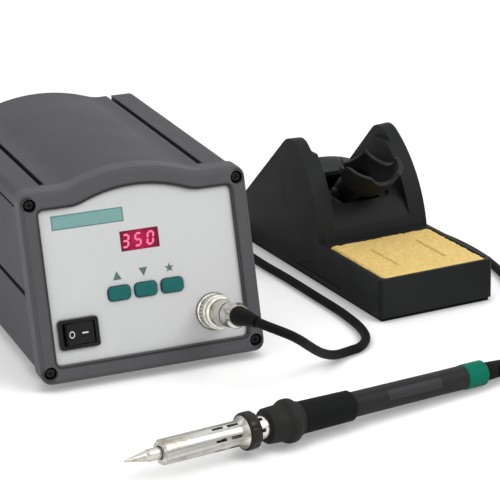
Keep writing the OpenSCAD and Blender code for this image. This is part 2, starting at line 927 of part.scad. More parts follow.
module mains_inlet() {
    depth = 22;
    color(black)
        on_rear(inlet_x)
            difference() {
                union() {
                    linear_extrude(inlet_flange_t) rounded(inlet_screw_pitch + 10, 22.6, 5);
                    translate([0, 0, -depth]) linear_extrude(depth + eps)
                        square([inlet_body_w, inlet_body_h], center = true);
                }
                translate([0, 0, inlet_flange_t - inlet_recess]) linear_extrude(inlet_recess + 1)
                    polygon([[-12.3, -8.4], [12.3, -8.4], [12.3, 3.8], [7.7, 8.4],
                        [-7.7, 8.4], [-12.3, 3.8]]);
                for (side = [-1, 1])
                    translate([side * inlet_screw_pitch / 2, 0, -1])
                        cylinder(r = screw_bore_r + 0.3, h = inlet_flange_t + 2);
            }
}

module inlet_pins() {
    pin_l = 11.8;
    start = inlet_flange_t - inlet_recess;
    color(steel)
        on_rear(inlet_x) {
            for (p = [[-7, -2], [0, 2], [7, -2]]) {
                translate([p[0], p[1], start]) linear_extrude(pin_l)
                    square([2, 4], center = true);
                translate([p[0], p[1], -30]) linear_extrude(8)
                    square([0.8, 4.8], center = true);
            }
        }
}

module fuse_holder() {
    depth = 30;
    color(black)
        on_rear(fuse_x)
            difference() {
                turned([[0, -depth], [fuse_body_r - 1, -depth], [fuse_body_r, -depth + 8],
                    [fuse_body_r, 0], [fuse_flange_r, 0], [fuse_flange_r, fuse_flange_t - 0.6],
                    [fuse_flange_r - 0.6, fuse_flange_t], [0, fuse_flange_t]]);
                translate([0, 0, -depth + 3]) cylinder(r = fuse_bore_r, h = depth + 3);
            }
}

module fuse_cap() {
    knob = fuse_flange_t + 0.2;
    color(black)
        on_rear(fuse_x)
            difference() {
                turned([[0, -8], [fuse_bore_r - slip, -8], [fuse_bore_r - slip, knob],
                    [fuse_body_r, knob], [fuse_body_r, fuse_knob_l - 1],
                    [fuse_body_r - 1, fuse_knob_l], [0, fuse_knob_l]]);
                translate([-4.5, -0.6, fuse_knob_l - 1.2]) cube([9, 1.2, 2]);
                translate([0, 0, -9]) cylinder(r = 2.65, h = 6);
            }
}

module fuse() {
    cap_l = 5;
    color("#d5dde0")
        on_rear(fuse_x, -23.1)
            turned([[0, 0], [2.6, 0], [2.6, cap_l], [2.3, cap_l], [2.3, 20 - cap_l],
                [2.6, 20 - cap_l], [2.6, 20], [0, 20]]);
}

earth_body_r = 4;

module earth_jack() {
    flange_t = 2;
    color("#3d7a3a")
        on_rear(earth_x)
            difference() {
                turned([[0, flange_t - earth_bore_l - 4], [earth_body_r, flange_t - earth_bore_l - 4],
                    [earth_body_r, 0], [6, 0], [6, flange_t - 0.5], [5.5, flange_t], [0, flange_t]]);
                translate([0, 0, flange_t - earth_bore_l])
                    cylinder(r = earth_bore_r, h = earth_bore_l + 1);
            }
}

// ---- feet ----
foot_r = 7.5;
foot_seat = 2.6;

module feet() {
    color(black)
        for (p = feet_places)
            translate([p[0], p[1], 0])
                turned([[screw_head_r + 0.3, 0], [foot_r - 0.8, 0], [foot_r, 0.8],
                    [foot_r + 0.6, case_low], [screw_bore_r + 0.2, case_low],
                    [screw_bore_r + 0.2, foot_seat], [screw_head_r + 0.3, foot_seat]]);
}

module foot_screws() {
    color(steel)
        for (p = feet_places)
            translate([p[0], p[1], foot_seat]) pan_screw(floor_z - foot_seat);
}

// ---- stand ----
front_drop = cheek_front_r + 4.5;
cheek_cy = tray_d + front_drop;
cheek_cz = tray_h - 4.7;
slope_y = 115;
slope_z = 75.8;
fall_dir = [cos(cheek_fall), -sin(cheek_fall)];
fall_out = [sin(cheek_fall), cos(cheek_fall)];
fall_gap = ([cheek_cy - slope_y, cheek_cz - slope_z] * fall_out) + cheek_top_r;
top_c = [cheek_cy, cheek_cz] - fall_gap * fall_out
    - sqrt(pow(cheek_front_r - cheek_top_r, 2) - fall_gap * fall_gap) * fall_dir;
deck_r = 26;         // radius of the riser between the tray and the deck
deck_rise = 23.3;    // height of the deck's front above the tray rim
deck_end_z = 52.4;   // height of the deck's rear edge, in the middle
deck_crown_r = 66;   // the deck's rear edge is crowned across the stand
deck_end = [slope_y + (slope_z - deck_end_z) / tan(cheek_fall), deck_end_z];

function toward(from, to) = (to - from) / norm(to - from);
// Outline of a cheek from the side; inset moves it inwards
function cheek_pts(inset) =
    let (
        c = [cheek_cy, cheek_cz],
        r = cheek_front_r - inset,
        start = tray_h - stand_wall - cheek_cz,
        a0 = 180 - asin(start / r),
        out = toward(c, top_c),
        a1 = atan2(out[1], out[0]),
        foot_t = (slope_z - tray_h) / sin(cheek_fall),
        foot = [slope_y, slope_z] + foot_t * fall_dir - inset * fall_out
    )
    concat(
        [[c[0] - r * cos(asin(start / r)), pad_t]],
        arc_pts(c[0], c[1], r, a0, a1, 14),
        arc_pts(top_c[0], top_c[1], cheek_top_r - inset, a1, 90 - cheek_fall, 6),
        [[min(foot[0], stand_d - inset), foot[1]], [stand_d - inset, foot[1] - eps],
            [stand_d - inset, pad_t]]);

// The deck between the cheeks: a riser that curves back from the tray, then a slope
function deck_pts(inset) =
    concat(
        [[tray_d + 4 + inset, pad_t]],
        arc_pts(tray_d + 4 + deck_r, tray_h + deck_rise - deck_r, deck_r - inset, 180, 96, 8),
        [[deck_end[0], deck_end[1] - inset],
            [min(slope_y + (slope_z - tray_h) / tan(cheek_fall), stand_d) - inset,
                tray_h - inset],
            [stand_d - inset, tray_h - inset], [stand_d - inset, pad_t]]);

module in_stand() {
    translate([stand_x, stand_y, 0]) rotate(stand_turn) children();
}

module stand_plan(inset) {
    translate([stand_w / 2, stand_d / 2])
        rounded(stand_w - 2 * inset, stand_d - 2 * inset, max(stand_r - inset, 0.4));
}

stand_posts = [for (x = [9, stand_w - 9], y = [stand_wall + 5, stand_d - 12]) [x, y]];

// Origin on the pivot, Z along the receptacle's bore and out of its mouth
module receptacle_frame() {
    translate([stand_w / 2, pivot_y, pivot_z]) rotate([90 - bore_slope, 0, 0]) children();
}

// A cheek's space: X into the stand from its outer face, leaning in from the tray upwards
module at_cheeks() {
    for (side = [0, 1])
        translate([side * stand_w, 0, tray_h]) mirror([side, 0, 0])
            rotate([0, cheek_lean, 0]) translate([0, 0, -tray_h]) children();
}

layer_back = 113;    // rear end of the cheeks' inner layer

module stand_outer() {
    translate([0, 0, pad_t]) linear_extrude(tray_h - pad_t) stand_plan(0);
    intersection() {
        translate([0, 0, pad_t]) linear_extrude(2 * slope_z) stand_plan(0);
        union() {
            at_cheeks() {
                across_x(0, cheek_t) polygon(cheek_pts(0));
                intersection() {
                    across_x(cheek_t - eps, cheek_t + layer_t) polygon(cheek_pts(0));
                    cube([cheek_t + layer_t, layer_back, layer_top]);
                }
            }
            intersection() {
                across_x(cheek_t / 2, stand_w - cheek_t / 2) polygon(deck_pts(0));
                translate([stand_w / 2, 0, deck_end_z - deck_crown_r]) rotate([-90, 0, 0])
                    cylinder(r = deck_crown_r, h = 2 * stand_d, $fn = 180);
            }
        }
    }
}

module stand_inner() {
    low = pad_t - 1;
    intersection() {
        translate([0, 0, low]) linear_extrude(2 * slope_z) stand_plan(stand_wall);
        union() {
            translate([0, 0, low]) cube([stand_w, tray_d, tray_floor - stand_wall - low]);
            translate([0, 0, low]) cube([stand_w, stand_d, plate_t + 1]);
            intersection() {
                across_x(0, stand_w) polygon(deck_pts(stand_wall));
                translate([stand_w / 2, 0, deck_end_z - deck_crown_r]) rotate([-90, 0, 0])
                    cylinder(r = deck_crown_r - stand_wall, h = 2 * stand_d, $fn = 180);
                union() {
                    cube([stand_w, stand_d, tray_h]);
                    translate([cheek_t - stand_wall, 0, 0])
                        cube([stand_w - 2 * (cheek_t - stand_wall), stand_d, 2 * tray_h + deck_rise]);
                }
            }
            at_cheeks()
                across_x(stand_wall, cheek_t - stand_wall) polygon(cheek_pts(stand_wall));
        }
    }
}

module tray_pocket() {
    translate([0, 0, tray_floor]) linear_extrude(tray_h)
        translate([stand_w / 2, tray_d / 2])
            rounded(stand_w - 2 * stand_wall, tray_d - 2 * stand_wall + 2, 3);
}

well_half = 18;
well_l = 30;
well_tilt = 5;
well_front = 80.5;
well_z = 41.6;
slot_half = 12.3;    // half width of the receptacle's slot in the deck
slot_start = 83.5;
slot_end = 119;
side_hollow = 0.6;

// The shallow well in the deck; grow widens and deepens it
module well(grow) {
    translate([stand_w / 2, well_front, well_z]) rotate([well_tilt, 0, 0])
        translate([0, well_l / 2, -grow]) linear_extrude(24)
            rounded(2 * (well_half + grow), well_l + 2 * grow, 5 + grow);
}

// Ribs beside the slot that hold the stub axles
module axle_ribs() {
    rib_h = 12;
    for (x = [-slot_half - stand_wall, slot_half])
        translate([stand_w / 2 + x, pivot_y - 8, pivot_z - rib_h / 2])
            cube([stand_wall, 16, rib_h]);
}

module stand_body() {
    color(black)
        in_stand()
            difference() {
                union() {
                    difference() {
                        stand_outer();
                        stand_inner();
                    }
                    intersection() {
                        stand_outer();
                        union() {
                            well(stand_wall);
                            axle_ribs();
                        }
                    }
                    intersection() {
                        stand_outer();
                        for (p = stand_posts)
                            translate([p[0], p[1], pad_t + plate_t])
                                cylinder(r = 4, h = p[1] < tray_d ? tray_floor - 1 - pad_t - plate_t
                                    : deck_end_z);
                    }
                }
                tray_pocket();
                well(0);
                translate([stand_w / 2 - slot_half, slot_start, pad_t + 14])
                    cube([2 * slot_half, slot_end - slot_start, 60]);
                // bores for the receptacle's stub axles
                translate([stand_w / 2 - slot_half - stand_wall - 1, pivot_y, pivot_z])
                    rotate([0, 90, 0])
                        cylinder(r = stub_r + slip, h = 2 * (slot_half + stand_wall + 1));
                for (p = stand_posts)
                    translate([p[0], p[1], 0]) cylinder(r = screw_bore_r, h = tray_floor - 1.5);
                // shallow hollows low on both sides
                for (x = [-1, stand_w - side_hollow])
                    across_x(x, x + 1 + side_hollow)
                        polygon([[44, 5], [44, 19], [60, 18], [82, 12], [100, 5]]);
            }
}

module stand_plate() {
    color(steel)
        in_stand()
            difference() {
                translate([0, 0, pad_t]) linear_extrude(plate_t) stand_plan(stand_wall + 0.2);
                for (p = stand_posts)
                    translate([p[0], p[1], 0]) cylinder(r = screw_bore_r + 0.3, h = 9);
            }
}

module stand_pad() {
    color("#1b1b1c")
        in_stand()
            difference() {
                linear_extrude(pad_t) stand_plan(1.5);
                for (p = stand_posts)
                    translate([p[0], p[1], -1]) cylinder(r = screw_head_r + 0.3, h = 9);
            }
}

module stand_screws() {
    color(steel)
        in_stand()
            for (p = stand_posts)
                translate([p[0], p[1], pad_t]) pan_screw(6);
}

// ---- receptacle: a bell with an oblique lobed mouth, a bore and two stub axles ----
mouth_z = 20;
mouth_tilt = 31;
mouth_l = 35;
rim_rise = 4.5;        // height of the rim's peaks above the mouth's plane
// dips in the rim: angle round the mouth, depth below the mouth's plane, radius
rim_dips = [[-90, 1, 11], [145, 0, 10], [104, 6, 9.5], [40, 4.6, 10.5]];

module bell(grow) {
    turned([[0, -bore_l], [bore_r + grow, -bore_l], [bore_r + grow, 0],
        [bore_r + 1.2 + grow, 2.5], [bore_r + 3.4 + grow, 6], [mouth_r - 1.8 + grow, 10.5],
        [mouth_r - 0.5 + grow, 15], [mouth_r + grow, 20], [mouth_r + grow, mouth_l],
        [0, mouth_l]]);
}

module receptacle() {
    stub_end = slot_half + stand_wall - 0.2;
    color("#2c2d30")
        in_stand()
            receptacle_frame()
                difference() {
                    union() {
                        translate([0, 0, pivot_back]) bell(receptacle_wall);
                        rotate([0, 90, 0])
                            cylinder(r = stub_r, h = 2 * stub_end, center = true);
                        rotate([0, 90, 0])
                            cylinder(r = stub_r + 1.4, h = 2 * (slot_half - gap), center = true);
                    }
                    translate([0, 0, pivot_back]) {
                        bell(0);
                        translate([0, 0, -bore_l - 3]) cylinder(r = bore_r, h = bore_l + 4);
                        // oblique mouth
                        translate([0, 0, mouth_z + rim_rise]) rotate([-mouth_tilt, 0, 0])
                            translate([-60, -60, 0]) cube([120, 120, 60]);
                        for (d = rim_dips)
                            rotate(d[0])
                                translate([mouth_r, 0, mouth_z + d[2] - d[1]
                                    - mouth_r * tan(mouth_tilt) * sin(d[0])])
                                    rotate([0, 90, 0]) cylinder(r = d[2], h = 8, center = true);
                    }
                }
}

// ---- sponge ----
module sponge() {
    slit_w = 1;
    clear = stand_wall + gap;
    plan_w = stand_w - 2 * clear;
    plan_d = tray_d - 2 * clear + 2;
    color("#e3c46a")
        in_stand()
            translate([stand_w / 2, tray_d / 2, tray_floor + gap])
                linear_extrude(sponge_t)
                    difference() {
                        rounded(plan_w, plan_d, 3);
                        for (x = [-1, 1])
                            translate([x * 15.2, 1]) square([slit_w, slit_l], center = true);
                    }
}

// ---- handpiece ----
nut_s = barrel_s + barrel_l - 1.2;
neck_s = nut_s + 2.7;
cap_s = nut_s + nut_l + 2;
flange_s = cap_s + 10.9;
flange_l = 8.1;
grip_s = flange_s + flange_l;
handle_s = grip_s + grip_l;
ring_s = handle_s + handle_l;
relief_s = ring_s + ring_l;
cord_s = relief_s + relief_l;
ring_r = handle_r + 0.3;
relief_r = 4.8;
hand_x = 30.8;
hand_y = -104.2;
hand_mid = flange_s + flange_l / 2;
hand_dip = atan((flange_r - ring_r) / (relief_s - grip_s));
hand_z = flange_r * cos(hand_dip) + flange_l / 2 * sin(hand_dip);
hand_dir = [cos(hand_dip) * cos(hand_turn), cos(hand_dip) * sin(hand_turn), -sin(hand_dip)];

module in_hand() {
    translate([hand_x, hand_y, hand_z]) rotate([0, hand_dip, hand_turn])
        translate([-hand_mid, 0, 0]) children();
}

// A round piece about the handpiece's axis from [distance behind the tip, radius] points
module along_hand(pts) {
    in_hand() rotate([0, 90, 0]) turned([for (p = pts) [p[1], p[0]]]);
}

heater_r = 2.1;

module soldering_tip() {
    sleeve_l = 34;
    color("#b9bcc0")
        along_hand([[0, 0], [0.2, 0.3], [cone_l, cone_r], [cone_l + 0.6, shank_r],
            [barrel_s + 4, shank_r], [barrel_s + 6, 3.7], [barrel_s + sleeve_l, 3.7],
            [barrel_s + sleeve_l, heater_r + 0.1], [cone_l + 4, heater_r + 0.1],
            [cone_l + 3, 0]]);
}

module heater() {
    color("#e6e2da")
        along_hand([[cone_l + 4.2, 0], [cone_l + 4.2, heater_r], [neck_s + 14, heater_r],
            [neck_s + 14, 0]]);
}

slot_rows = 6;
slot_w = 1.6;
slot_len = 6;

module barrel() {
    color(steel)
        difference() {
            along_hand([[barrel_s, shank_r + 0.4], [barrel_s, barrel_r - 0.9],
                [barrel_s + 1.2, barrel_r], [nut_s + 1.3, barrel_r], [nut_s + 1.3, barrel_r + 1],
                [barrel_s + barrel_l + 0.4, barrel_r + 1],
                [barrel_s + barrel_l + 0.4, barrel_r - barrel_wall],
                [barrel_s + 1.6, barrel_r - barrel_wall], [barrel_s + 0.8, shank_r + 0.4]]);
            in_hand()
                for (i = [0 : slot_rows - 1], start = [27.4, 35.8])
                    rotate([360 * (i + 0.3) / slot_rows, 0, 0])
                        translate([barrel_s + start, -slot_w / 2, 0])
                            cube([slot_len, slot_w, 2 * barrel_r]);
        }
}

module barrel_nut() {
    flats = 12;
    inner = barrel_r + 1 + 0.08;
    color("#3a3836")
        difference() {
            along_hand([[nut_s, barrel_r + 0.06], [nut_s, barrel_r + 1.4],
                [nut_s + 1.4, nut_r], [nut_s + nut_l - 0.8, nut_r],
                [nut_s + nut_l, nut_r - 0.8], [nut_s + nut_l, inner], [nut_s + 1.2, inner],
                [nut_s + 1.2, barrel_r + 0.06]]);
            in_hand()
                for (i = [0 : flats - 1])
                    rotate([360 * i / flats, 0, 0])
                        translate([nut_s + 2.4, 0, nut_r + 0.3]) rotate([0, 90, 0])
                            cylinder(r = 0.8, h = nut_l, $fn = 16);
        }
}

module neck() {
    color(steel)
        difference() {
            along_hand([[barrel_s + barrel_l + 0.5, 3.4], [barrel_s + barrel_l + 0.5, barrel_r + 1],
                [nut_s + nut_l - 1.2, barrel_r + 1], [nut_s + nut_l - 0.4, 4.8],
                [cap_s + 6, 4.8], [cap_s + 6, 3.4]]);
            in_hand()
                for (a = [30 : 60 : 359])
                    rotate([a, 0, 0]) translate([nut_s + nut_l + 0.2, -0.7, 0])
                        cube([1.4, 1.4, 9]);
        }
}

module front_cap() {
    edge = 1.6;
    color(black)
        along_hand(concat(
            [[cap_s, 4.9], [cap_s, cap_r - edge - 0.6]],
            arc_pts(cap_s + edge, cap_r - edge - 0.2, edge, 180, 90, 5),
            [[flange_s - 2, cap_r + 0.4], [flange_s - 0.6, cap_r + 1.1]],
            arc_pts(flange_s + edge, flange_r - edge, edge, 160, 90, 4),
            arc_pts(grip_s - edge - 0.3, flange_r - edge, edge, 90, 0, 4),
            [[grip_s, flange_r - 2.4], [grip_s, 5.6], [cap_s + 7, 5.6], [cap_s + 7, 4.9]]));
}

handle_inner_r = 5.5;

module grip() {
    end = handle_s;
    color("#1d1d1f")
        along_hand([[grip_s, handle_inner_r + slip], [grip_s, grip_r - 0.3],
            [grip_s + 0.4, grip_r], [grip_s + 12, grip_r - 0.15], [end - 1.2, grip_r - 0.4],
            [end, grip_r - 1.3], [end, handle_inner_r + slip]]);
}

module handle() {
    bore = 4.3;
    color("#47484c")
        along_hand([[cap_s + 7.2, bore], [cap_s + 7.2, handle_inner_r],
            [handle_s, handle_inner_r], [handle_s, handle_r - 0.1], [handle_s + 0.5, handle_r + 0.1],
            [ring_s - 14, handle_r - 0.1], [ring_s, handle_r], [ring_s, bore]]);
}

module handle_board() {
    strip_l = 70;
    strip_w = 7.2;
    strip_t = 1.2;
    color(board_green)
        in_hand() translate([grip_s + strip_w, -strip_w / 2, -strip_t / 2])
            cube([strip_l, strip_w, strip_t]);
}

module handle_ring() {
    spigot = 4.2;
    color("#2aa187")
        along_hand([[ring_s - 8, 2.8], [ring_s - 8, spigot], [ring_s, spigot],
            [ring_s, ring_r - 0.4], [ring_s + 0.5, ring_r], [relief_s - 0.8, ring_r],
            [relief_s, ring_r - 0.8], [relief_s, 2.8]]);
}

module cord_relief() {
    ribs = 6;
    pitch = (relief_l - 5) / ribs;
    tail_r = cord_d / 2 + 0.4;
    function relief_at(s) = relief_r - (relief_r - tail_r) * pow(s / relief_l, 1.3);
    color(black)
        difference() {
            along_hand(concat([[relief_s, 0]],
                [for (i = [0 : 10]) [relief_s + relief_l * i / 10, relief_at(relief_l * i / 10)]],
                [[cord_s, 0]]));
            in_hand()
                for (i = [1 : ribs - 1], a = [0, 180])
                    rotate([a + (i % 2) * 90, 0, 0])
                        translate([relief_s + 3 + i * pitch, -5, 0.72 * relief_at(i * pitch + 3)])
                            cube([1.3, 10, 5]);
        }
}

// ---- cord ----
// Points are in the station's own frame, from the plug round to the handpiece.
origin_x = (stand_x + (stand_w - stand_r) * cos(stand_turn) - stand_r * sin(stand_turn)
    + stand_r - case_w / 2 - bezel_proud) / 2;
barrel_front = hand_y + (barrel_s + 1.2 - hand_mid) * hand_dir[1] - barrel_r * cos(hand_turn);
origin_y = (case_d + fuse_knob_l + barrel_front) / 2;
origin = [origin_x, origin_y, 0];

function face_pt(u, v, w) =
    [u, v * sin(face_lean) - w * lean_cos, v * lean_cos + w * sin(face_lean)];
plug_tip = face_pt(socket_u, socket_v, plug_end) - origin;
plug_dir = [0, -lean_cos, sin(face_lean)];
hand_tip = [hand_x, hand_y, hand_z] + (cord_s - hand_mid) * hand_dir - origin;

boot_route = [plug_tip, plug_tip + 3 * plug_dir, [-37.6, -81.5, 39.6], [-35, -86.5, 39.2]];
boot_radii = [5.2, 4.8, 3.9, 3];
lead_route = [[-35, -86.5, 39.2], [-31.5, -91, 38], [-26, -93.5, 36], [-19.5, -93.5, 33],
    [-13, -90, 28.5], [-7, -85, 23.5], [-1, -79.5, 18.5], [5, -74, 13.5], [12, -68, 8.5],
    [18, -63, 5], [24, -59.5, 3], [30, -57.5, 2.5], [34.5, -55, 2.5], [40, -50, 2.5],
    [44.5, -42, 2.5], [47, -31.5, 2.5], [48, -18.5, 2.5], [47.5, 1.5, 2.5], [45.5, 23.5, 2.5],
    [43.5, 46.5, 2.5], [41.5, 66.5, 2.5], [39, 86.5, 2.5], [37.5, 106.5, 2.5], [37, 126.5, 2.5],
    [39, 143.5, 2.5], [44, 156.5, 2.5], [55, 166.5, 2.5], [72, 171.5, 2.5], [90, 172.5, 2.5],
    [108, 169.5, 2.5], [124, 161.5, 2.5], [136, 148.5, 2.5], [144, 129.5, 2.5], [150, 109.5, 2.5],
    [156, 87.5, 2.5], [159, 67.5, 2.5], [160, 47.5, 2.5], [159, 29.5, 2.5], [156, 9.5, 2.5],
    [152, -10.5, 2.5], [149, -28.5, 2.5], [148, -40.5, 2.5]];
tail_route = [[149.5, -64.5, 7.5], [147.5, -78.5, 6.4], [142, -92.5, 3.6], [133, -102.5, 3],
    [122, -109.5, 3.6], hand_tip + 8 * hand_dir, hand_tip + gap * hand_dir];
coil_centre = [177.5, -54, 0];
coil_outer = 29.5;   // centre line of the outer turn
coil_inner = 24.4;   // centre line of the inner turn
coil_h = 9.5;

function cross_dir(a, b) = cross(a, b) / norm(cross(a, b));

// A tube swept along points, with its own radius at each
module swept_tube(pts, radii, sides) {
    n = len(pts);
    rings = [for (i = [0 : n - 1]) let (
        along = toward(pts[max(i - 1, 0)], pts[min(i + 1, n - 1)]),
        side = cross_dir(along, [0, 0, 1]),
        up = cross(side, along))
        [for (k = [0 : sides - 1]) let (a = 360 * k / sides)
            pts[i] + radii[i] * (cos(a) * side + sin(a) * up)]];
    polyhedron(
        points = [for (ring = rings) each ring],
        faces = concat(
            [[for (k = [0 : sides - 1]) k]],
            [for (i = [0 : n - 2], k = [0 : sides - 1]) let (m = (k + 1) % sides)
                [i * sides + k, (i + 1) * sides + k, (i + 1) * sides + m, i * sides + m]],
            [[for (k = [sides - 1 : -1 : 0]) (n - 1) * sides + k]]),
        convexity = 10);
}

cord_sides = 10;

module cord(route) {
    color(black) swept_tube(route, [for (p = route) cord_d / 2], cord_sides);
}

module plug_boot() {
    color(black) swept_tube(boot_route, boot_radii, 16);
}

module cord_lead() { cord(lead_route); }
module cord_tail() { cord(tail_route); }

module cord_coil() {
    r = cord_d / 2;
    inner = coil_inner - r;
    outer = coil_outer + r;
    color(black)
        translate(coil_centre)
            turned([[inner, 0.4], [inner + 0.4, 0], [outer - 0.4, 0], [outer, 0.4],
                [outer, cord_d], [outer - 2.5, coil_h], [inner + 2.5, coil_h], [inner, cord_d]]);
}

module place() {
    translate(-origin) children();
}

place() case_upper();
place() case_lower();
place() front_bezel();
place() bezel_screws();
place() front_panel();
place() display_window();
place() display_module();
place() control_board();
place() board_standoffs();
place() tact_switches();
place() button_up();
place() button_down();
place() button_set();
place() switch_housing();
place() switch_terminals();
place() power_rocker();
place() socket_shell();
place() socket_locknut();
place() socket_pins();
place() coupling_nut();
place() plug_shell();
plug_boot();
place() transformer_core();
place() transformer_winding();
place() transformer_strap();
place() inner_screws();
place() power_board();
place() board_parts();
place() heat_sink();
place() rear_panel();
place() rear_screws();
place() mains_inlet();
place() inlet_pins();
place() fuse_holder();
place() fuse_cap();
place() fuse();
place() earth_jack();
place() feet();
place() foot_screws();
place() stand_body();
place() stand_plate();
place() stand_pad();
place() stand_screws();
place() receptacle();
place() sponge();
place() soldering_tip();
place() heater();
place() barrel();
place() barrel_nut();
place() neck();
place() front_cap();
place() grip();
place() handle();
place() handle_board();
place() handle_ring();
place() cord_relief();
cord_lead();
cord_coil();
cord_tail();
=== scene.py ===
# %% [markdown]
# # Dressing a soldering iron station
# The station is three things on a bench: a control unit with a leaning face, a stand with
# a bell for the hot iron and a damp sponge, and the handpiece on its cord. The imported model
# already has every rigid piece in its true place, so it is loaded as a fixed frame. Left for
# this file are the finishes, the soft, printed and finely turned pieces, and the light.

# %% Load the frame
import json
import math

import bmesh
import bpy
from mathutils import Matrix, Vector, noise


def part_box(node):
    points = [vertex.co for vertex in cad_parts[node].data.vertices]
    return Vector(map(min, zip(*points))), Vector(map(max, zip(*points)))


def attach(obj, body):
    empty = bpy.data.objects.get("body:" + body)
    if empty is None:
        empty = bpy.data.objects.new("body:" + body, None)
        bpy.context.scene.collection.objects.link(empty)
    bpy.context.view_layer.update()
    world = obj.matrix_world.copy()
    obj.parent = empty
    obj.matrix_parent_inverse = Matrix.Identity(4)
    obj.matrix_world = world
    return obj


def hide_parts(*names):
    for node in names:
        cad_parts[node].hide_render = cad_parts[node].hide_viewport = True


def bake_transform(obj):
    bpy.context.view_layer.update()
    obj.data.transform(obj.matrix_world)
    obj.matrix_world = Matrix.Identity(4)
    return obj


MM = 0.001
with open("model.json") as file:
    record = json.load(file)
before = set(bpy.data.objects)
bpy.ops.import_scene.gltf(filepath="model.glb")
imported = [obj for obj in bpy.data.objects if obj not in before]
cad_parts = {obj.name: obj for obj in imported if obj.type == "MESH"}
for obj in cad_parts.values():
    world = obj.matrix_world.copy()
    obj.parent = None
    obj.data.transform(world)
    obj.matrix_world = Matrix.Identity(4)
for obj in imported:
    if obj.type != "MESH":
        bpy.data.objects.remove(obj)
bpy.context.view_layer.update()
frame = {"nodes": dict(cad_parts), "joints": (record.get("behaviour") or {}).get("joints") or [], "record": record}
nodes = frame["nodes"]

# %% [markdown]
# ## Camera
# The station is seen from in front and a little to the left, from above the bench. A long
# lens is chosen because a product is usually shot from a distance, which keeps the unit's
# sides nearly parallel. Its turn comes from three angles: how far it looks to the right,
# how far down, and how far it is rolled.

# %% Place the camera
camera_place = Vector((-403.3, -1032.0, 425.25)) * MM
look_right = math.radians(21.14)
look_down = math.radians(18.93)
roll = math.radians(-1.51)
lens_mm = 156.7
sensor_mm = 36.0

camera = bpy.data.objects.new("camera", bpy.data.cameras.new("camera"))
camera.data.lens = lens_mm
camera.data.sensor_width = sensor_mm
camera.location = camera_place
camera.rotation_euler = (Matrix.Rotation(-look_right, 3, "Z")
                         @ Matrix.Rotation(math.pi / 2 - look_down, 3, "X")
                         @ Matrix.Rotation(roll, 3, "Z")).to_euler()
bpy.context.scene.collection.objects.link(camera)
bpy.context.scene.camera = camera
print("lens:", lens_mm, "mm")

# %% [markdown]
# ## Colours and nodes
# Paint and plastic are matched as sRGB hex values, but Blender mixes light in linear
# values. One function turns the first into the second. Another adds a shader node, sets it
# up and links it, so that a finish reads as a short list of steps. Each finish is kept under
# the name of its material slot, or under one of its own.

# %% Helpers for colours and nodes
def linear(code):
    """Linear red, green, blue and alpha of an sRGB hex value."""
    parts = [int(code[i:i + 2], 16) / 255 for i in (1, 3, 5)]
    return tuple(c / 12.92 if c <= 0.04045 else ((c + 0.055) / 1.055) ** 2.4
                 for c in parts) + (1.0,)


def fill(node, inputs):
    """Gives each named input a value, or a link from a node or one of its outputs."""
    for name, value in inputs.items():
        if isinstance(value, bpy.types.Node):
            value = value.outputs[0]
        if isinstance(value, bpy.types.NodeSocket):
            node.id_data.links.new(value, node.inputs[name])
        else:
            node.inputs[name].default_value = value
    return node


def add(tree, kind, inputs=None, **settings):
    """Adds a shader node with these inputs and settings."""
    node = tree.nodes.new("ShaderNode" + kind)
    for name, value in settings.items():
        setattr(node, name, value)
    return fill(node, inputs or {})


finishes = {}


def new_finish(slot, name, colour, roughness, metallic=0.0, shine=0.5):
    """Keeps a plain finish under slot. Returns its tree, shader and object coordinates."""
    finishes[slot] = bpy.data.materials.new(name)
    finishes[slot].use_nodes = True
    tree = finishes[slot].node_tree
    shader = fill(tree.nodes["Principled BSDF"], {
        "Base Color": linear(colour), "Roughness": roughness, "Metallic": metallic,
        "Specular IOR Level": shine})
    return tree, shader, add(tree, "TexCoord").outputs["Object"]


print("dark grey in linear light:", [round(c, 3) for c in linear("#4b4c50")])

# %% [markdown]
# ## The cord
# The handpiece cord is one length of soft silicone cable, 5 mm thick. It leaves the plug's
# boot, sags to the bench, runs behind the stand, comes round its right side, lies in three
# turns beside the handpiece and ends in the handpiece. Its loose stretches are listed points,
# and the turns of the coil are worked out from a few radii and heights.

# %% The cord's route
cord_d = 5.0 * MM
lead_route = [(-35, -86.5, 39.2), (-31.5, -91, 38), (-26, -93.5, 35.5), (-19.5, -93.5, 31.8),
              (-13, -90, 26.8), (-7, -85, 21.5), (-1, -79.5, 16.2), (5, -74, 11.4),
              (12, -68, 7), (18, -63, 4.2), (24, -59, 2.8), (30, -56.5, 2.5),
              (34.5, -55, 2.5), (40, -50, 2.5), (44.5, -42, 2.5), (47, -31.5, 2.5),
              (48, -18.5, 2.5), (47.5, 1.5, 2.5), (45.5, 23.5, 2.5), (43.5, 46.5, 2.5),
              (41.5, 66.5, 2.5), (39, 86.5, 2.5), (37.5, 106.5, 2.5), (37, 126.5, 2.5),
              (39, 143.5, 2.5), (44, 156.5, 2.5), (55, 166.5, 2.5), (72, 171.5, 2.5),
              (90, 172.5, 2.5), (108, 169.5, 2.5), (124, 161.5, 2.5), (136, 148.5, 2.5),
              (144, 129.5, 2.5), (150, 109.5, 2.5), (156, 87.5, 2.5), (159, 67.5, 2.5),
              (160, 47.5, 2.5), (159, 29.5, 2.5), (156, 9.5, 2.5), (152, -10.5, 2.5),
              (149, -28.5, 2.5), (148, -40.5, 2.5)]
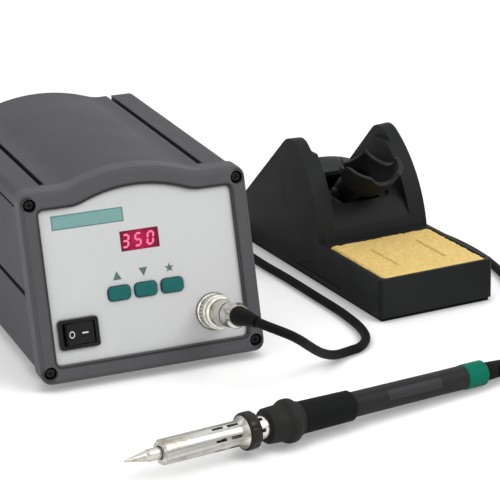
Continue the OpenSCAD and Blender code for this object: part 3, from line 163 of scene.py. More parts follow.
# the coil: angle in degrees, radius and height of the cord's middle
coil_centre = (177.5, -54.0)
coil_keys = [(180, 29.5, 2.5), (480, 29.5, 2.5), (495, 28.8, 2.5), (510, 26.95, 2.5),
             (525, 25.2, 2.5), (540, 24.4, 2.5), (825, 24.4, 2.5), (840, 24.3, 3.1),
             (855, 24.2, 5.1), (870, 24.4, 6.8), (885, 24.4, 7.45), (900, 24.4, 7.55),
             (930, 25.2, 7.4), (960, 26.9, 6.9), (1170, 27.0, 6.9), (1200, 27.4, 7.0),
             (1215, 29.0, 7.5), (1230, 29.6, 7.4), (1245, 30.0, 7.5), (1260, 30.2, 7.55),
             (1275, 30.6, 7.5)]
tail_route = [(147.5, -78.5, 6.4), (142, -92.5, 3.6), (133, -102.5, 3), (122, -109.5, 3.6)]
# the direction from the handpiece's tip to its cord, taken from the barrel nut's axle
joints = {joint["name"]: joint for joint in frame["joints"]}
hand_dir = -Vector(joints["barrel_nut_turn"]["axis"]).normalized()
hand_angle = math.atan2(hand_dir.y, hand_dir.x)
relief_tip = Vector((102.74, -115.51, 5.34))
# the cord's last stretch is straight and stops just short of the relief
straight_mm, short_of_mm = 8, 0.3
print("the handpiece lies at", round(math.degrees(hand_angle), 1), "degrees")


# %% Points along the whole cord
def coil_points(step):
    """Points along the coil, one for about every step degrees."""
    points = []
    for (a0, r0, z0), (a1, r1, z1) in zip(coil_keys, coil_keys[1:]):
        count = max(1, round((a1 - a0) / step))
        for i in range(count):
            t = i / count
            a = math.radians(a0 + t * (a1 - a0))
            r = r0 + t * (r1 - r0)
            points.append(Vector((coil_centre[0] + r * math.cos(a),
                                  coil_centre[1] + r * math.sin(a), z0 + t * (z1 - z0))))
    return points


def rounded_route(points, steps, lowest):
    """Points on a smooth curve that passes through the given ones, none under lowest."""
    path = []
    for i in range(len(points) - 1):
        a, b, c = points[max(i - 1, 0)], points[i], points[i + 1]
        d = points[min(i + 2, len(points) - 1)]
        for k in range(steps):
            t = k / steps
            path.append(0.5 * (2 * b + (c - a) * t + (2 * a - 5 * b + 4 * c - d) * t ** 2
                               + (3 * b - a - 3 * c + d) * t ** 3))
    path.append(points[-1])
    return [Vector((p.x, p.y, max(p.z, lowest))) for p in path]


route = ([Vector(p) for p in lead_route] + coil_points(15) + [Vector(p) for p in tail_route]
         + [relief_tip + back * hand_dir for back in (straight_mm, short_of_mm)])
cord_path = [p * MM for p in rounded_route(route, steps=4, lowest=cord_d / MM / 2)]

# %% [markdown]
# A curve object with a round bevel would draw the cord too. A tube made ring by ring keeps
# the very points that the cord is measured by, and its last stretch can be made to follow
# the handpiece when that is lifted.

# %% A tube along a path
def tube(name, path, radius, sides):
    """A closed tube whose rings turn with the path and never twist."""
    mesh = bmesh.new()
    along = [(path[min(i + 1, len(path) - 1)] - path[max(i - 1, 0)]).normalized()
             for i in range(len(path))]
    side = along[0].cross(Vector((0, 0, 1))).normalized()
    rings = []
    for i, point in enumerate(path):
        if i:
            side = along[i - 1].rotation_difference(along[i]) @ side
        up = side.cross(along[i])
        rings.append([mesh.verts.new(point + radius * (math.cos(a) * side + math.sin(a) * up))
                      for a in (math.tau * k / sides for k in range(sides))])
    for ring, following in zip(rings, rings[1:]):
        for k in range(sides):
            m = (k + 1) % sides
            mesh.faces.new((ring[k], ring[m], following[m], following[k]))
    mesh.faces.new(rings[0])
    mesh.faces.new(rings[-1])
    return finished_object(name, mesh, smooth=True)


def finished_object(name, mesh, finish=None, smooth=False):
    """Turns a bmesh into an object in the scene, with its faces looking outwards."""
    bmesh.ops.recalc_face_normals(mesh, faces=mesh.faces)
    data = bpy.data.meshes.new(name)
    mesh.to_mesh(data)
    mesh.free()
    data.polygons.foreach_set("use_smooth", [smooth] * len(data.polygons))
    if finish:
        data.materials.append(finishes[finish])
    piece = bpy.data.objects.new(name, data)
    bpy.context.scene.collection.objects.link(piece)
    return piece


cord = tube("handpiece_cord", cord_path, cord_d / 2, sides=20)
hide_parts("cord_lead", "cord_coil", "cord_tail")
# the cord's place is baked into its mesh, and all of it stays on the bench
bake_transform(cord)
print("cord faces:", len(cord.data.polygons))

# %% [markdown]
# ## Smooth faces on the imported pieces
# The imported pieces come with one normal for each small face, so a round edge made of short
# flats would show its flats. A few nodes join the doubled corners and call an edge sharp
# only where it bends by more than 32 degrees. Weighted normals then keep the large flat
# faces flat, and the eye sees a round edge beside them.

# %% Smooth by angle, as one shared node group
sharp_angle = math.radians(32)
join_mm = 0.002
smoothing = bpy.data.node_groups.new("smooth_by_angle", "GeometryNodeTree")
smoothing.interface.new_socket("Geometry", in_out="INPUT", socket_type="NodeSocketGeometry")
smoothing.interface.new_socket("Geometry", in_out="OUTPUT", socket_type="NodeSocketGeometry")
steps = [smoothing.nodes.new(kind) for kind in (
    "NodeGroupInput", "GeometryNodeMergeByDistance", "GeometryNodeSetShadeSmooth",
    "GeometryNodeSetShadeSmooth", "NodeGroupOutput")]
for before, after in zip(steps, steps[1:]):
    fill(after, {0: before})
join, crease = steps[1], steps[3]
fill(join, {"Distance": join_mm * MM})
bend = smoothing.nodes.new("GeometryNodeInputMeshEdgeAngle")
is_sharp = fill(smoothing.nodes.new("FunctionNodeCompare"), {"A": bend, "B": sharp_angle})
crease.domain = "EDGE"
fill(crease, {"Shade Smooth": False, "Selection": is_sharp})

for node in nodes.values():
    if "custom_normal" in node.data.attributes:
        node.data.attributes.remove(node.data.attributes["custom_normal"])
    node.modifiers.new("smooth", "NODES").node_group = smoothing
    node.modifiers.new("weighted", "WEIGHTED_NORMAL").keep_sharp = True
print("smoothed:", len(nodes), "pieces")

# %% [markdown]
# ## Coordinates for patterns
# Every pattern below is drawn in object coordinates. Each piece's object stands at the origin
# of the frame, unscaled, so one unit of these coordinates is one metre, and a noise with scale
# 1 / 0.0004 has lumps about 0.4 mm across. That is how each scale is worked out from a real
# size. A piece that moves carries its pattern with it.

# %% What the finishes share
def middle_of(name):
    """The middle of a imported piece's box."""
    low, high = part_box(name)
    return (low + high) / 2


def scale_for(size_mm):
    """The texture scale whose lumps are about size_mm across."""
    return 1 / (size_mm * MM)


def uneven(tree, pattern, middle, swing):
    """A value that rises and falls by swing about its middle, as a noise pattern does."""
    # most of a noise lies between 0.3 and 0.7
    return add(tree, "MapRange", {"Value": pattern, "From Min": 0.3, "From Max": 0.7,
                                  "To Min": middle - swing, "To Max": middle + swing})


def grained(tree, shader, place, grain_mm, depth_mm, edge_mm, strength):
    """Fine grain in the bump, over edges that look rounded. Returns the grain."""
    grain = add(tree, "TexNoise", {"Vector": place, "Scale": scale_for(grain_mm)})
    rounded = add(tree, "Bevel", {"Radius": edge_mm * MM}, samples=6)
    bump = add(tree, "Bump", {"Height": grain, "Distance": depth_mm * MM,
                              "Strength": strength, "Normal": rounded})
    fill(shader, {"Normal": bump})
    return grain


def edge_mask(tree, width_mm):
    """1 along outer edges and corners that hands and tools rub, 0 on flat faces."""
    wide = add(tree, "Bevel", {"Radius": width_mm * MM}, samples=6)
    flat = add(tree, "NewGeometry").outputs["Normal"]
    alike = add(tree, "VectorMath", {0: wide, 1: flat}, operation="DOT_PRODUCT")
    return add(tree, "MapRange", {"Value": alike.outputs["Value"], "From Min": 0.98,
                                  "From Max": 0.75})


def painted_occlusion_shade(tree, colour, reach_mm, darkest):
    """The colour with painted shade, darker where another surface lies within reach_mm."""
    open_sky = add(tree, "AmbientOcclusion", {"Distance": reach_mm * MM}, samples=8)
    level = add(tree, "MapRange", {"Value": open_sky.outputs["AO"], "From Min": 0.45,
                                   "From Max": 0.85, "To Min": darkest})
    return add(tree, "VectorMath", {0: colour, "Scale": level}, operation="SCALE")


def lip_shade(tree, middle, width_mm, darkest):
    """1 on the flats of a frame, darkest on the lip of its opening, which turns to middle."""
    rounded = add(tree, "Bevel", {"Radius": width_mm * MM}, samples=8)
    here = add(tree, "NewGeometry").outputs
    turn = add(tree, "VectorMath", {0: rounded, 1: here["Normal"]}, operation="SUBTRACT")
    inwards = add(tree, "VectorMath", {0: middle, 1: here["Position"]}, operation="SUBTRACT")
    way = add(tree, "VectorMath", {0: inwards}, operation="NORMALIZE")
    facing = add(tree, "VectorMath", {0: turn, 1: way}, operation="DOT_PRODUCT")
    return add(tree, "MapRange", {"Value": facing.outputs["Value"], "From Min": 0.02,
                                  "From Max": 0.14, "To Min": 1.0, "To Max": darkest})


print("lumps of 0.4 mm have scale", round(scale_for(0.4)))

# %% [markdown]
# Paint and moulded plastic are alike: an even colour that drifts a little in tone, a grain,
# edges that hands have rubbed paler, and painted shade in corners. Metal has fine lines,
# often stretched one way by its tool or die, stains and painted shade in its hollows. So
# nearly every finish below is one of two recipes with its own numbers.

# %% The two recipes
def moulded(slot, name, colour, roughness, grain_mm, depth_mm, cloud=0.10, rub=0.25,
            rub_mm=0.5, patch_mm=14, shine=0.2, corner_mm=1.0, corner=0.6, lip_middle=None):
    """Paint or plastic: fine grain, faint clouds of tone, edges rubbed a little lighter, and painted shade in
    corners.
    """
    tree, shader, place = new_finish(slot, name, colour, roughness, shine=shine)
    grain = grained(tree, shader, place, grain_mm, depth_mm, edge_mm=0.35, strength=0.8)
    clouds = add(tree, "TexNoise", {"Vector": place, "Scale": scale_for(patch_mm),
                                    "Detail": 5.0, "Roughness": 0.6})
    level = add(tree, "Math", {0: uneven(tree, clouds, 1, cloud),
                               1: uneven(tree, grain, 1, 0.05)}, operation="MULTIPLY")
    if lip_middle is not None:
        lip = lip_shade(tree, lip_middle, width_mm=2.4, darkest=0.2)
        level = add(tree, "Math", {0: level, 1: lip}, operation="MULTIPLY")
    base = linear(colour)[:3]
    pale = tuple(min(1, c * (1 + 2 * rub) + 0.02 * rub) for c in base) + (1,)
    shaded = add(tree, "VectorMath", {0: base, "Scale": level}, operation="SCALE")
    rubbed = add(tree, "MixRGB", {"Fac": edge_mask(tree, rub_mm), "Color1": shaded,
                                  "Color2": pale})
    # painted shade: the colour darkens towards corner where another surface lies within corner_mm
    fill(shader, {"Base Color": painted_occlusion_shade(tree, rubbed, corner_mm, corner),
                  "Roughness": uneven(tree, clouds, roughness, 0.06)})


def machined(slot, name, colour, roughness, line_mm, stretch=(1, 1, 1), depth_mm=0.01,
             stain=None, stain_mm=6, turn=0.0, reflection_streak=0.0, reflection_streak_mm=1.6, corner=0.6):
    """Bare or plated metal: fine lines, long in the stretched direction, faint stains, painted reflection bands
    and painted shade.
    """
    tree, shader, place = new_finish(slot, name, colour, roughness, metallic=1.0)
    pulled = add(tree, "Mapping", {"Vector": place, "Rotation": (0, 0, turn),
                                   "Scale": stretch}, vector_type="TEXTURE")
    lines = grained(tree, shader, pulled, line_mm, depth_mm, edge_mm=0.15, strength=0.6)
    marks = add(tree, "TexNoise", {"Vector": place, "Scale": scale_for(stain_mm),
                                   "Detail": 6.0, "Roughness": 0.65})
    share = add(tree, "MapRange", {"Value": marks, "From Min": 0.48, "From Max": 0.7})
    stained = add(tree, "MixRGB", {"Fac": share, "Color1": linear(colour),
                                   "Color2": linear(stain or colour)})
    # painted reflection: long noise bands darken the colour by up to the streak share, standing in for the light
    # and dark bands that a round bar reflects
    bands = add(tree, "TexNoise", {"Vector": pulled, "Scale": scale_for(reflection_streak_mm)})
    level = add(tree, "MapRange", {"Value": bands, "From Min": 0.35, "From Max": 0.65,
                                   "To Min": 1 - reflection_streak})
    reflection_streaked = add(tree, "VectorMath", {0: stained, "Scale": level}, operation="SCALE")
    # painted shade: hollows and steps darken towards corner within 1.5 mm
    fill(shader, {"Base Color": painted_occlusion_shade(tree, reflection_streaked, reach_mm=1.5, darkest=corner),
                  "Roughness": uneven(tree, lines, roughness, 0.08)})


print("recipes: moulded and machined")

# %% [markdown]
# ## Paint on the case
# The case is two folded sheets of steel with a powder coat. The powder melts into a skin
# with a shallow orange peel about 0.9 mm across, so the grey looks even and matt from a
# distance and faintly pebbled close by. Rubbed edges shine through a little lighter.

# %% Powder-coated sheet
# the painted shade here turns the bottoms of the roof grooves nearly black
moulded("case_metal", "powder_coated_sheet", "#4f4f52", 0.58, 0.9, 0.05, cloud=0.05, rub=0.3,
        rub_mm=0.6, patch_mm=30, shine=0.12, corner_mm=3.5, corner=0.1)
print("made", finishes["case_metal"].name)

# %% [markdown]
# ## Moulded plastics
# The front frame and the stand are ABS from spark-eroded moulds, which leave a fine matt
# grain of about 0.4 mm. The handle is PBT with nearly the same grain, the switch is glossy
# nylon, and the keys, the feet and the cord's jacket are silicone.

# %% ABS, nylon and silicone
moulded("bezel_plastic", "grained_grey_abs", "#545457", 0.55, 0.45, 0.03, cloud=0.04,
        rub=0.3, corner_mm=2.0, corner=0.1, lip_middle=middle_of("front_panel"))
moulded("panel_plastic", "satin_printed_overlay", "#d3d4d4", 0.42, 0.35, 0.012,
        cloud=0.015, rub=0.02, patch_mm=25, corner_mm=1.8, corner=0.0)
moulded("white_plastic", "white_led_housing", "#e2e2e0", 0.4, 0.4, 0.02)
moulded("black_plastic", "glossy_black_nylon", "#151517", 0.28, 0.5, 0.006, cloud=0.08,
        rub=0.4)
moulded("button_plastic", "teal_silicone_keys", "#186462", 0.5, 0.3, 0.01, cloud=0.1,
        rub=0.15, patch_mm=5, corner_mm=3, corner=0.3)
moulded("green_plastic", "green_terminal_nylon", "#1d6a2e", 0.4, 0.4, 0.02)
moulded("stand_plastic", "grained_black_abs", "#202122", 0.55, 0.5, 0.04, cloud=0.14,
        rub=0.5, rub_mm=0.7, patch_mm=18, shine=0.12)
moulded("handle_plastic", "grey_handle_pbt", "#262627", 0.45, 0.35, 0.02, cloud=0.05,
        rub=0.2, shine=0.12)
moulded("ring_plastic", "green_handle_ring", "#066f58", 0.38, 0.4, 0.01, cloud=0.04,
        rub=0.1, shine=0.06)
moulded("worn_bell", "worn_black_abs", "#161717", 0.55, 0.5, 0.04, cloud=0.2, rub=1.6,
        rub_mm=0.8, patch_mm=8)
moulded("matt_cap", "matt_black_nylon", "#1d1c1b", 0.6, 0.5, 0.03, cloud=0.1, rub=0.3)
moulded("rubber", "black_silicone_rubber", "#121314", 0.62, 0.25, 0.015, cloud=0.12,
        rub=0.2, patch_mm=9, shine=0.08)
moulded("ceramic", "alumina_ceramic", "#e4e0d8", 0.5, 0.15, 0.01)
print("finishes so far:", len(finishes))

# %% [markdown]
# ## Metals
# A metal takes its colour from its reflections, so the base colours here are the real
# ones of each metal and the fine lines do the rest. The barrel is drawn stainless tube, so
# its lines are long and run along it, heat has stained it straw-brown in patches, and it and
# the tip carry painted reflection bands along their length. The small plated pieces have no
# one direction, so their pattern isn't stretched.

# %% Steels, brass and aluminium
machined("steel", "zinc_plated_steel", "#bcbec2", 0.34, 0.25, stain="#9a9890")
machined("dark_steel", "black_oxide_steel", "#2a2a2c", 0.4, 0.25, stain="#3a3734")
machined("brass", "turned_brass", "#c8a45c", 0.3, 0.2, (1, 1, 5), stain="#8d6b3a")
machined("plated_brass", "nickel_plated_brass", "#e0ded6", 0.2, 0.2, stain="#b5b1a4",
         stain_mm=4, corner=0.3)
machined("aluminium", "extruded_aluminium", "#b4b6b8", 0.38, 0.3, (1, 20, 1))
machined("barrel_steel", "drawn_stainless_tube", "#d2d1cb", 0.3, 0.3, (40, 1, 1),
         depth_mm=0.015, stain="#a89c86", stain_mm=9, turn=hand_angle, reflection_streak=0.45)
machined("dark_nut", "black_chromed_nut", "#2f2c29", 0.34, 0.2, stain="#3b3631", stain_mm=3)
machined("tip_metal", "iron_plated_tip", "#d0cec9", 0.3, 0.25, (12, 1, 1), stain="#b3a58c",
         stain_mm=5, turn=hand_angle, reflection_streak=0.15)
print("finishes so far:", len(finishes))

# %% [markdown]
# ## Striped and layered pieces
# The transformer core is a stack of 0.5 mm steel sheets under brown varnish, and its
# winding is 0.6 mm enamelled copper wire laid side by side. Both are bands, so a wave
# texture draws them, with the wavelength set to the real thickness. Blender's wave texture
# makes one band for each 1 / (scale x 20 / 2 pi) units, and the scale is worked out from it.

# %% Laminations and wire
def banded(slot, name, light, dark, roughness, pitch_mm, axis, metallic, depth_mm):
    """Even bands of pitch_mm along one axis, in two tones and in the bump."""
    tree, shader, place = new_finish(slot, name, light, roughness, metallic)
    bands = add(tree, "TexWave", {"Vector": place, "Distortion": 0.4, "Detail Scale": 40.0,
                                  "Scale": math.tau / 20 * scale_for(pitch_mm)},
                bands_direction=axis).outputs["Fac"]
    tone = add(tree, "MixRGB", {"Fac": bands, "Color1": linear(dark), "Color2": linear(light)})
    bump = add(tree, "Bump", {"Height": bands, "Distance": depth_mm * MM})
    fill(shader, {"Base Color": tone, "Normal": bump})


sheet_mm, wire_mm = 0.5, 0.6
banded("core_iron", "varnished_laminations", "#6f6258", "#3c332c", 0.4, sheet_mm, "X",
       metallic=0.6, depth_mm=0.05)
banded("copper_winding", "enamelled_wire", "#c98442", "#7c3f16", 0.3, wire_mm, "Z",
       metallic=0.7, depth_mm=0.15)
print("bands at", sheet_mm, "and", wire_mm, "mm")

# %% [markdown]
# ## Circuit boards
# The boards are glass and epoxy under a green solder mask. Under the mask lie copper tracks,
# which show as a slightly lighter green. A brick pattern with long cells 2.5 mm wide gives
# the look of tracks that run side by side, without drawing any real circuit.

# %% Solder mask over tracks
brick_mm, track_mm, mask_mm = 12, 2.52, 0.035
tree, shader, place = new_finish("board", "green_solder_mask", "#12533a", 0.32)
tracks = add(tree, "TexBrick", {"Vector": place, "Scale": scale_for(brick_mm),
                                "Brick Width": 0.9, "Row Height": track_mm / brick_mm,
                                "Mortar Size": 0.03, "Color1": linear("#135a3f"),
                                "Color2": linear("#10503a"), "Mortar": linear("#2c8a5e")})
raised = add(tree, "Bump", {"Height": tracks.outputs["Fac"], "Distance": mask_mm * MM})
fill(shader, {"Base Color": tracks.outputs["Color"], "Normal": raised})
print("made", finishes["board"].name)

# %% [markdown]
# ## Red window and its glow
# The window is red acrylic, which lets through only the light of the display behind it.
# Unlit acrylic in front of a dark gap is nearly black, so the crimson that the eye sees is
# mostly scattered light. Here it is a glossy crimson skin with a weak glow of its own,
# brighter round the figures.

# %% Acrylic window
window_middle = middle_of("display_window")
glow_full, glow_gone = 2 * MM, 11 * MM
tree, shader, place = new_finish("window", "red_acrylic", "#720d32", 0.15, shine=0.15)
from_middle = add(tree, "VectorMath", {0: place, 1: window_middle}, operation="DISTANCE")
near = add(tree, "MapRange", {"Value": from_middle.outputs["Value"], "From Min": glow_full,
                              "From Max": glow_gone, "To Min": 1.0, "To Max": 0.0},
           interpolation_type="SMOOTHSTEP")
haze = add(tree, "TexNoise", {"Vector": place, "Scale": scale_for(5), "Detail": 3.0})
lit = add(tree, "Math", {0: near, 1: haze}, operation="MULTIPLY")
glow = add(tree, "MixRGB", {"Fac": lit, "Color1": linear("#1c0008"),
                            "Color2": linear("#d0104c")})
fill(shader, {"Emission Color": glow, "Emission Strength": 0.85, "Coat Weight": 0.08,
              "Coat Roughness": 0.05})
print("window middle in mm:", [round(c / MM, 1) for c in window_middle])

# %% [markdown]
# ## Fuse glass
# The fuse is a small glass tube that sits inside its holder. It is ordinary soda-lime
# glass with an index of 1.52, faintly greenish, with a few specks.

# %% Glass
tree, shader, place = new_finish("fuse_glass", "soda_lime_glass", "#e8f2ee", 0.03)
specks = add(tree, "TexNoise", {"Vector": place, "Scale": scale_for(1.5), "Detail": 3.0})
tint = add(tree, "MixRGB", {"Fac": specks, "Color1": linear("#dcebe4"),
                            "Color2": linear("#f2f7f5")})
fill(shader, {"Base Color": tint, "IOR": 1.52, "Transmission Weight": 1.0})
print("made", finishes["fuse_glass"].name)

# %% [markdown]
# ## Sponge material
# A cleaning sponge for soldering tips is pressed cellulose, swollen with water. It is warm
# yellow and full of pores, some half a millimetre wide and some a little over one, with
# shade painted darker inside them. Light enters it and comes out again, so it scatters a little of it.

# %% Damp cellulose
wide_pore_mm, fine_pore_mm = 1.3, 0.5
tree, shader, place = new_finish("sponge", "damp_cellulose", "#e6c26a", 0.8)
wide, fine = [add(tree, "TexVoronoi", {"Vector": place, "Scale": scale_for(pore_mm)},
                  feature="SMOOTH_F1") for pore_mm in (wide_pore_mm, fine_pore_mm)]
pores = add(tree, "Math", {0: wide, 1: fine}, operation="MULTIPLY")
depth = add(tree, "MapRange", {"Value": pores, "From Min": 0.02, "From Max": 0.35})
# painted shade: the pores are coloured darker where they sink deepest
inside = add(tree, "MixRGB", {"Fac": depth, "Color1": linear("#e2c070"),
                              "Color2": linear("#fadb8c")})
patches = add(tree, "TexNoise", {"Vector": place, "Scale": scale_for(12), "Detail": 4.0})
damp = add(tree, "MapRange", {"Value": patches, "From Min": 0.35, "From Max": 0.65,
                              "To Max": 0.35})
wet = add(tree, "MixRGB", {"Fac": damp, "Color1": inside, "Color2": linear("#e9c26b")})
bump = add(tree, "Bump", {"Height": depth, "Distance": 0.2 * MM, "Strength": 0.4})
fill(shader, {"Base Color": wet, "Normal": bump, "Subsurface Weight": 0.15,
              "Subsurface Radius": (1.5 * MM, 1.0 * MM, 0.4 * MM), "Subsurface Scale": 1.0})
print("pores:", fine_pore_mm, "and", wide_pore_mm, "mm")

# %% [markdown]
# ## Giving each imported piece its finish
# The record says which material slot each piece belongs to, so one loop dresses them all,
# also the pieces inside that nobody sees until the case is open.

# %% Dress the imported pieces
slots = {part["node"]: part["material_slot"] for part in frame["record"]["subparts"]}
# pieces that look unlike the others in their slot
own_look = {"receptacle": "worn_bell", "front_cap": "matt_cap", "neck": "plated_brass"}
for name, node in nodes.items():
    node.data.materials.clear()
    node.data.materials.append(finishes[own_look.get(name, slots[name])])
cord.data.materials.append(finishes["rubber"])
print("dressed", len(nodes), "pieces in", len(set(slots.values())), "finishes")

# %% [markdown]
# ## The sponge
# The sponge is a soft block with rounded edges, and two slits are cut in its top where the
# tip is wiped. A block made of a lattice of lines lets the slits have lines of their own.
# Every corner of the lattice is pulled onto a rounded box, and then all of the skin but the
# underside is dented by noise.

# %% Where the sponge lies
packed_middle = middle_of("sponge")
stand_turn = math.radians(5)
# in mm: the block across the stand, along it and upwards, then the slits, whose ends slope a
# little and whose flat floor is a share of their width
sponge_size = (66.2, 62.7, 13.9)
edge_radius = 2.2
slit_shift, slit_length, slit_width, slit_depth = 15.2, 32.0, 1.7, 6.5
slit_slope, half_floor, a_hair = 0.3, 0.3, 0.01
lattice_steps = (1.0, 1.0, 1.2)
sponge_half = [size / 2 for size in sponge_size]
print("packed sponge middle in mm:", [round(c / MM, 2) for c in packed_middle])


# %% A block of lattice lines
def lines_between(half, step, extra):
    """Even lines from -half to half, closer at the ends, plus any that a cut needs."""
    count = round((2 * half - 2 * edge_radius) / step)
    inner = [-half + edge_radius + i * (2 * half - 2 * edge_radius) / count
             for i in range(count + 1)]
    ends = [edge_radius * t for t in (0, 0.25, 0.5, 0.75)]
    lines = [-half + e for e in ends] + inner + [half - e for e in reversed(ends)]
    kept = [x for x in lines if all(abs(x - e) > 0.35 * step for e in extra)]
    return sorted(kept + list(extra))


slit_lines = sorted(side * slit_shift + edge * slit_width for side in (-1, 1)
                    for edge in (-0.5, -half_floor, half_floor, 0.5))
slit_ends = sorted(side * (slit_length / 2 + more) for side in (-1, 1)
                   for more in (0, slit_slope))
lines = [lines_between(half, step, extra) for half, step, extra in
         zip(sponge_half, lattice_steps, (slit_lines, slit_ends, ()))]
print("lattice:", [len(axis) for axis in lines])


# %% Round it, cut the slits and roughen it
def sponge_point(corner):
    """Where a corner of the block's lattice goes, in mm from the sponge's middle."""
    core = [max(-h + edge_radius, min(h - edge_radius, c)) for c, h in zip(corner, sponge_half)]
    out = Vector(corner) - Vector(core)
    point = Vector(core) + (edge_radius * out.normalized() if out.length > 1e-6 else out)
    in_slit = (abs(abs(corner[0]) - slit_shift) < half_floor * slit_width + a_hair
               and abs(corner[1]) < slit_length / 2 + a_hair)
    if corner[2] == sponge_half[2] and in_slit:
        return point - Vector((0, 0, slit_depth))
    if corner[2] == -sponge_half[2]:
        return point
    fine_lumps = noise.noise(point * 0.9) * 0.35
    wide_lumps = noise.noise(point * 0.35 + Vector((9, 2, 5))) * 0.5
    dent = Vector([-c / h for c, h in zip(point, sponge_half)]).normalized()
    return point + dent * (0.45 + (fine_lumps + wide_lumps))


mesh = bmesh.new()
corners = {}
last = [len(axis) - 1 for axis in lines]


def corner_at(*index):
    """The mesh corner at these lines of the lattice, made when it is first asked for."""
    if index not in corners:
        place = [axis[i] for axis, i in zip(lines, index)]
        corners[index] = mesh.verts.new(sponge_point(place))
    return corners[index]


for axis in range(3):
    a, b = [k for k in range(3) if k != axis]
    for end in (0, last[axis]):
        for i in range(last[a]):
            for k in range(last[b]):
                ring = []
                for di, dk in ((0, 0), (1, 0), (1, 1), (0, 1)):
                    index = [0, 0, 0]
                    index[axis], index[a], index[b] = end, i + di, k + dk
                    ring.append(corner_at(*index))
                mesh.faces.new(ring)
spun = Matrix.Rotation(stand_turn, 4, "Z")
mesh.transform(Matrix.Translation(packed_middle) @ spun @ Matrix.Scale(MM, 4))
sponge = finished_object("cellulose_sponge", mesh, "sponge", smooth=True)
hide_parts("sponge")
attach(sponge, "sponge")
print("sponge faces:", len(sponge.data.polygons))

# %% [markdown]
# ## Figures, signs and marks
# The next things are thin: the glowing figures in the window, the three signs printed over
# the keys, the ring and the dash on the power switch, and a plain raised patch on the handle.
# Each flat one is an outline given a small thickness, because a print or a lit bar has a
# crisp edge that a texture would blur.

# %% Planes to print on
lean = math.radians(15)
face_right = Vector((1, 0, 0))
face_up = Vector((0, math.sin(lean), math.cos(lean)))
face_out = Vector((0, -math.cos(lean), math.sin(lean)))
# in mm: the window's middle up the face, the places out of the face of the window, the lit
# bars and the panel's prints, which all lie behind its front edge, and a print's thickness
window_v, window_w, bars_w, prints_w, print_mm = 71.8, -2.95, -1.88, -2.01, 0.06


def on_face(u, v, w, turn=0.0):
    """A plane on the leaning face, in mm from its middle, up it and out of it."""
    place = Matrix((face_right, face_up, face_out)).transposed().to_4x4()
    place.translation = window_middle + MM * (u * face_right + (v - window_v) * face_up
                                              + (w - window_w) * face_out)
    return place @ Matrix.Rotation(turn, 4, "Y")


def printed(name, outlines, place, finish, body="station"):
    """Flat outlines in millimetres, made into thin closed plates."""
    mesh = bmesh.new()
    for outline in outlines:
        mesh.faces.new([mesh.verts.new((x * MM, y * MM, 0)) for x, y in outline])
    bmesh.ops.remove_doubles(mesh, verts=mesh.verts, dist=0.001 * MM)
    grown = bmesh.ops.extrude_face_region(mesh, geom=mesh.faces[:])["geom"]
    bmesh.ops.translate(mesh, vec=(0, 0, print_mm * MM),
                        verts=[v for v in grown if isinstance(v, bmesh.types.BMVert)])
    mesh.transform(place)
    piece = finished_object(name, mesh, finish)
    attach(piece, body)


print("face leans back", round(math.degrees(lean)), "degrees")

# %% [markdown]
# ## The figures
# A display figure has seven bars, each a long hexagon, and the whole figure slants by 8
# degrees. The figures here are 7.3 mm high, close to the common 0.28 inch size. Since the
# window's skin isn't clear, the lit bars lie on it and glow as pink as they would through it.

# %% Seven-bar figures
figure_w, figure_h, bar, gap, figure_pitch = 4.1, 7.3, 1.1, 0.12, 6.7
figure_slant = math.tan(math.radians(8))
figures_u = -0.9
lit_bars = {"3": "abgcd", "5": "afgcd", "0": "abcdef"}


def bar_outline(x0, y0, x1, y1):
    """A long hexagon from one point to another, level or upright."""
    along = Vector((x1 - x0, y1 - y0)).normalized()
    across = Vector((-along.y, along.x)) * bar / 2
    a, b = Vector((x0, y0)) + along * gap, Vector((x1, y1)) - along * gap
    end = along * bar / 2
    return [a, a + end + across, b - end + across, b, b - end - across, a + end - across]


def figure_outlines(figure, middle):
    """The lit bars of one figure, whose middle is this far along."""
    w, h = (figure_w - bar) / 2, (figure_h - bar) / 2
    ends = {"a": (-w, h, w, h), "b": (w, 0, w, h), "c": (w, -h, w, 0), "d": (-w, -h, w, -h),
            "e": (-w, -h, -w, 0), "f": (-w, 0, -w, h), "g": (-w, 0, w, 0)}
    return [[(middle + x + figure_slant * y, y) for x, y in bar_outline(*ends[name])]
            for name in lit_bars[figure]]


tree, shader, place = new_finish("lit_bar", "lit_display_bar", "#c2506f", 0.4, shine=0.1)
grain = add(tree, "TexNoise", {"Vector": place, "Scale": scale_for(0.8)})
light = add(tree, "MixRGB", {"Fac": grain, "Color1": linear("#f06a94"),
                             "Color2": linear("#ff9ab8")})
fill(shader, {"Emission Color": light, "Emission Strength": 0.7})
outlines = [outline for i, figure in enumerate("350")
            for outline in figure_outlines(figure, (i - 1) * figure_pitch)]
printed("display_figures", outlines, on_face(figures_u, window_v, bars_w), "lit_bar")
print("lit bars:", len(outlines))

# %% [markdown]
# ## Signs over the keys
# Up, down and set are marked by a triangle, a triangle turned over and a star, in a dull
# grey-green ink. Signs like these are common to many instruments.

# %% Triangles and star
moulded("ink", "grey_green_ink", "#5a7870", 0.55, 0.25, 0.004, cloud=0.05, rub=0.02)
sign_v, half_base, half_height = 54.9, 2.35, 2.2
star_r, star_waist = 2.6, 0.42
up_sign = [(-half_base, -half_height), (half_base, -half_height), (0, half_height)]
down_sign = [(x, -y) for x, y in reversed(up_sign)]
rim = [(r * math.sin(math.pi * i / 5), r * math.cos(math.pi * i / 5))
       for i, r in enumerate([star_r, star_r * star_waist] * 5)]
star = [[(0, 0), corner, after] for corner, after in zip(rim, rim[1:] + rim[:1])]
signs = {"sign_up": ([up_sign], -14.5), "sign_down": ([down_sign], -0.2),
         "sign_set": (star, 14.0)}
for name, (outlines, u) in signs.items():
    printed(name, outlines, on_face(u, sign_v, prints_w), "ink")
print("signs over the keys:", len(signs))

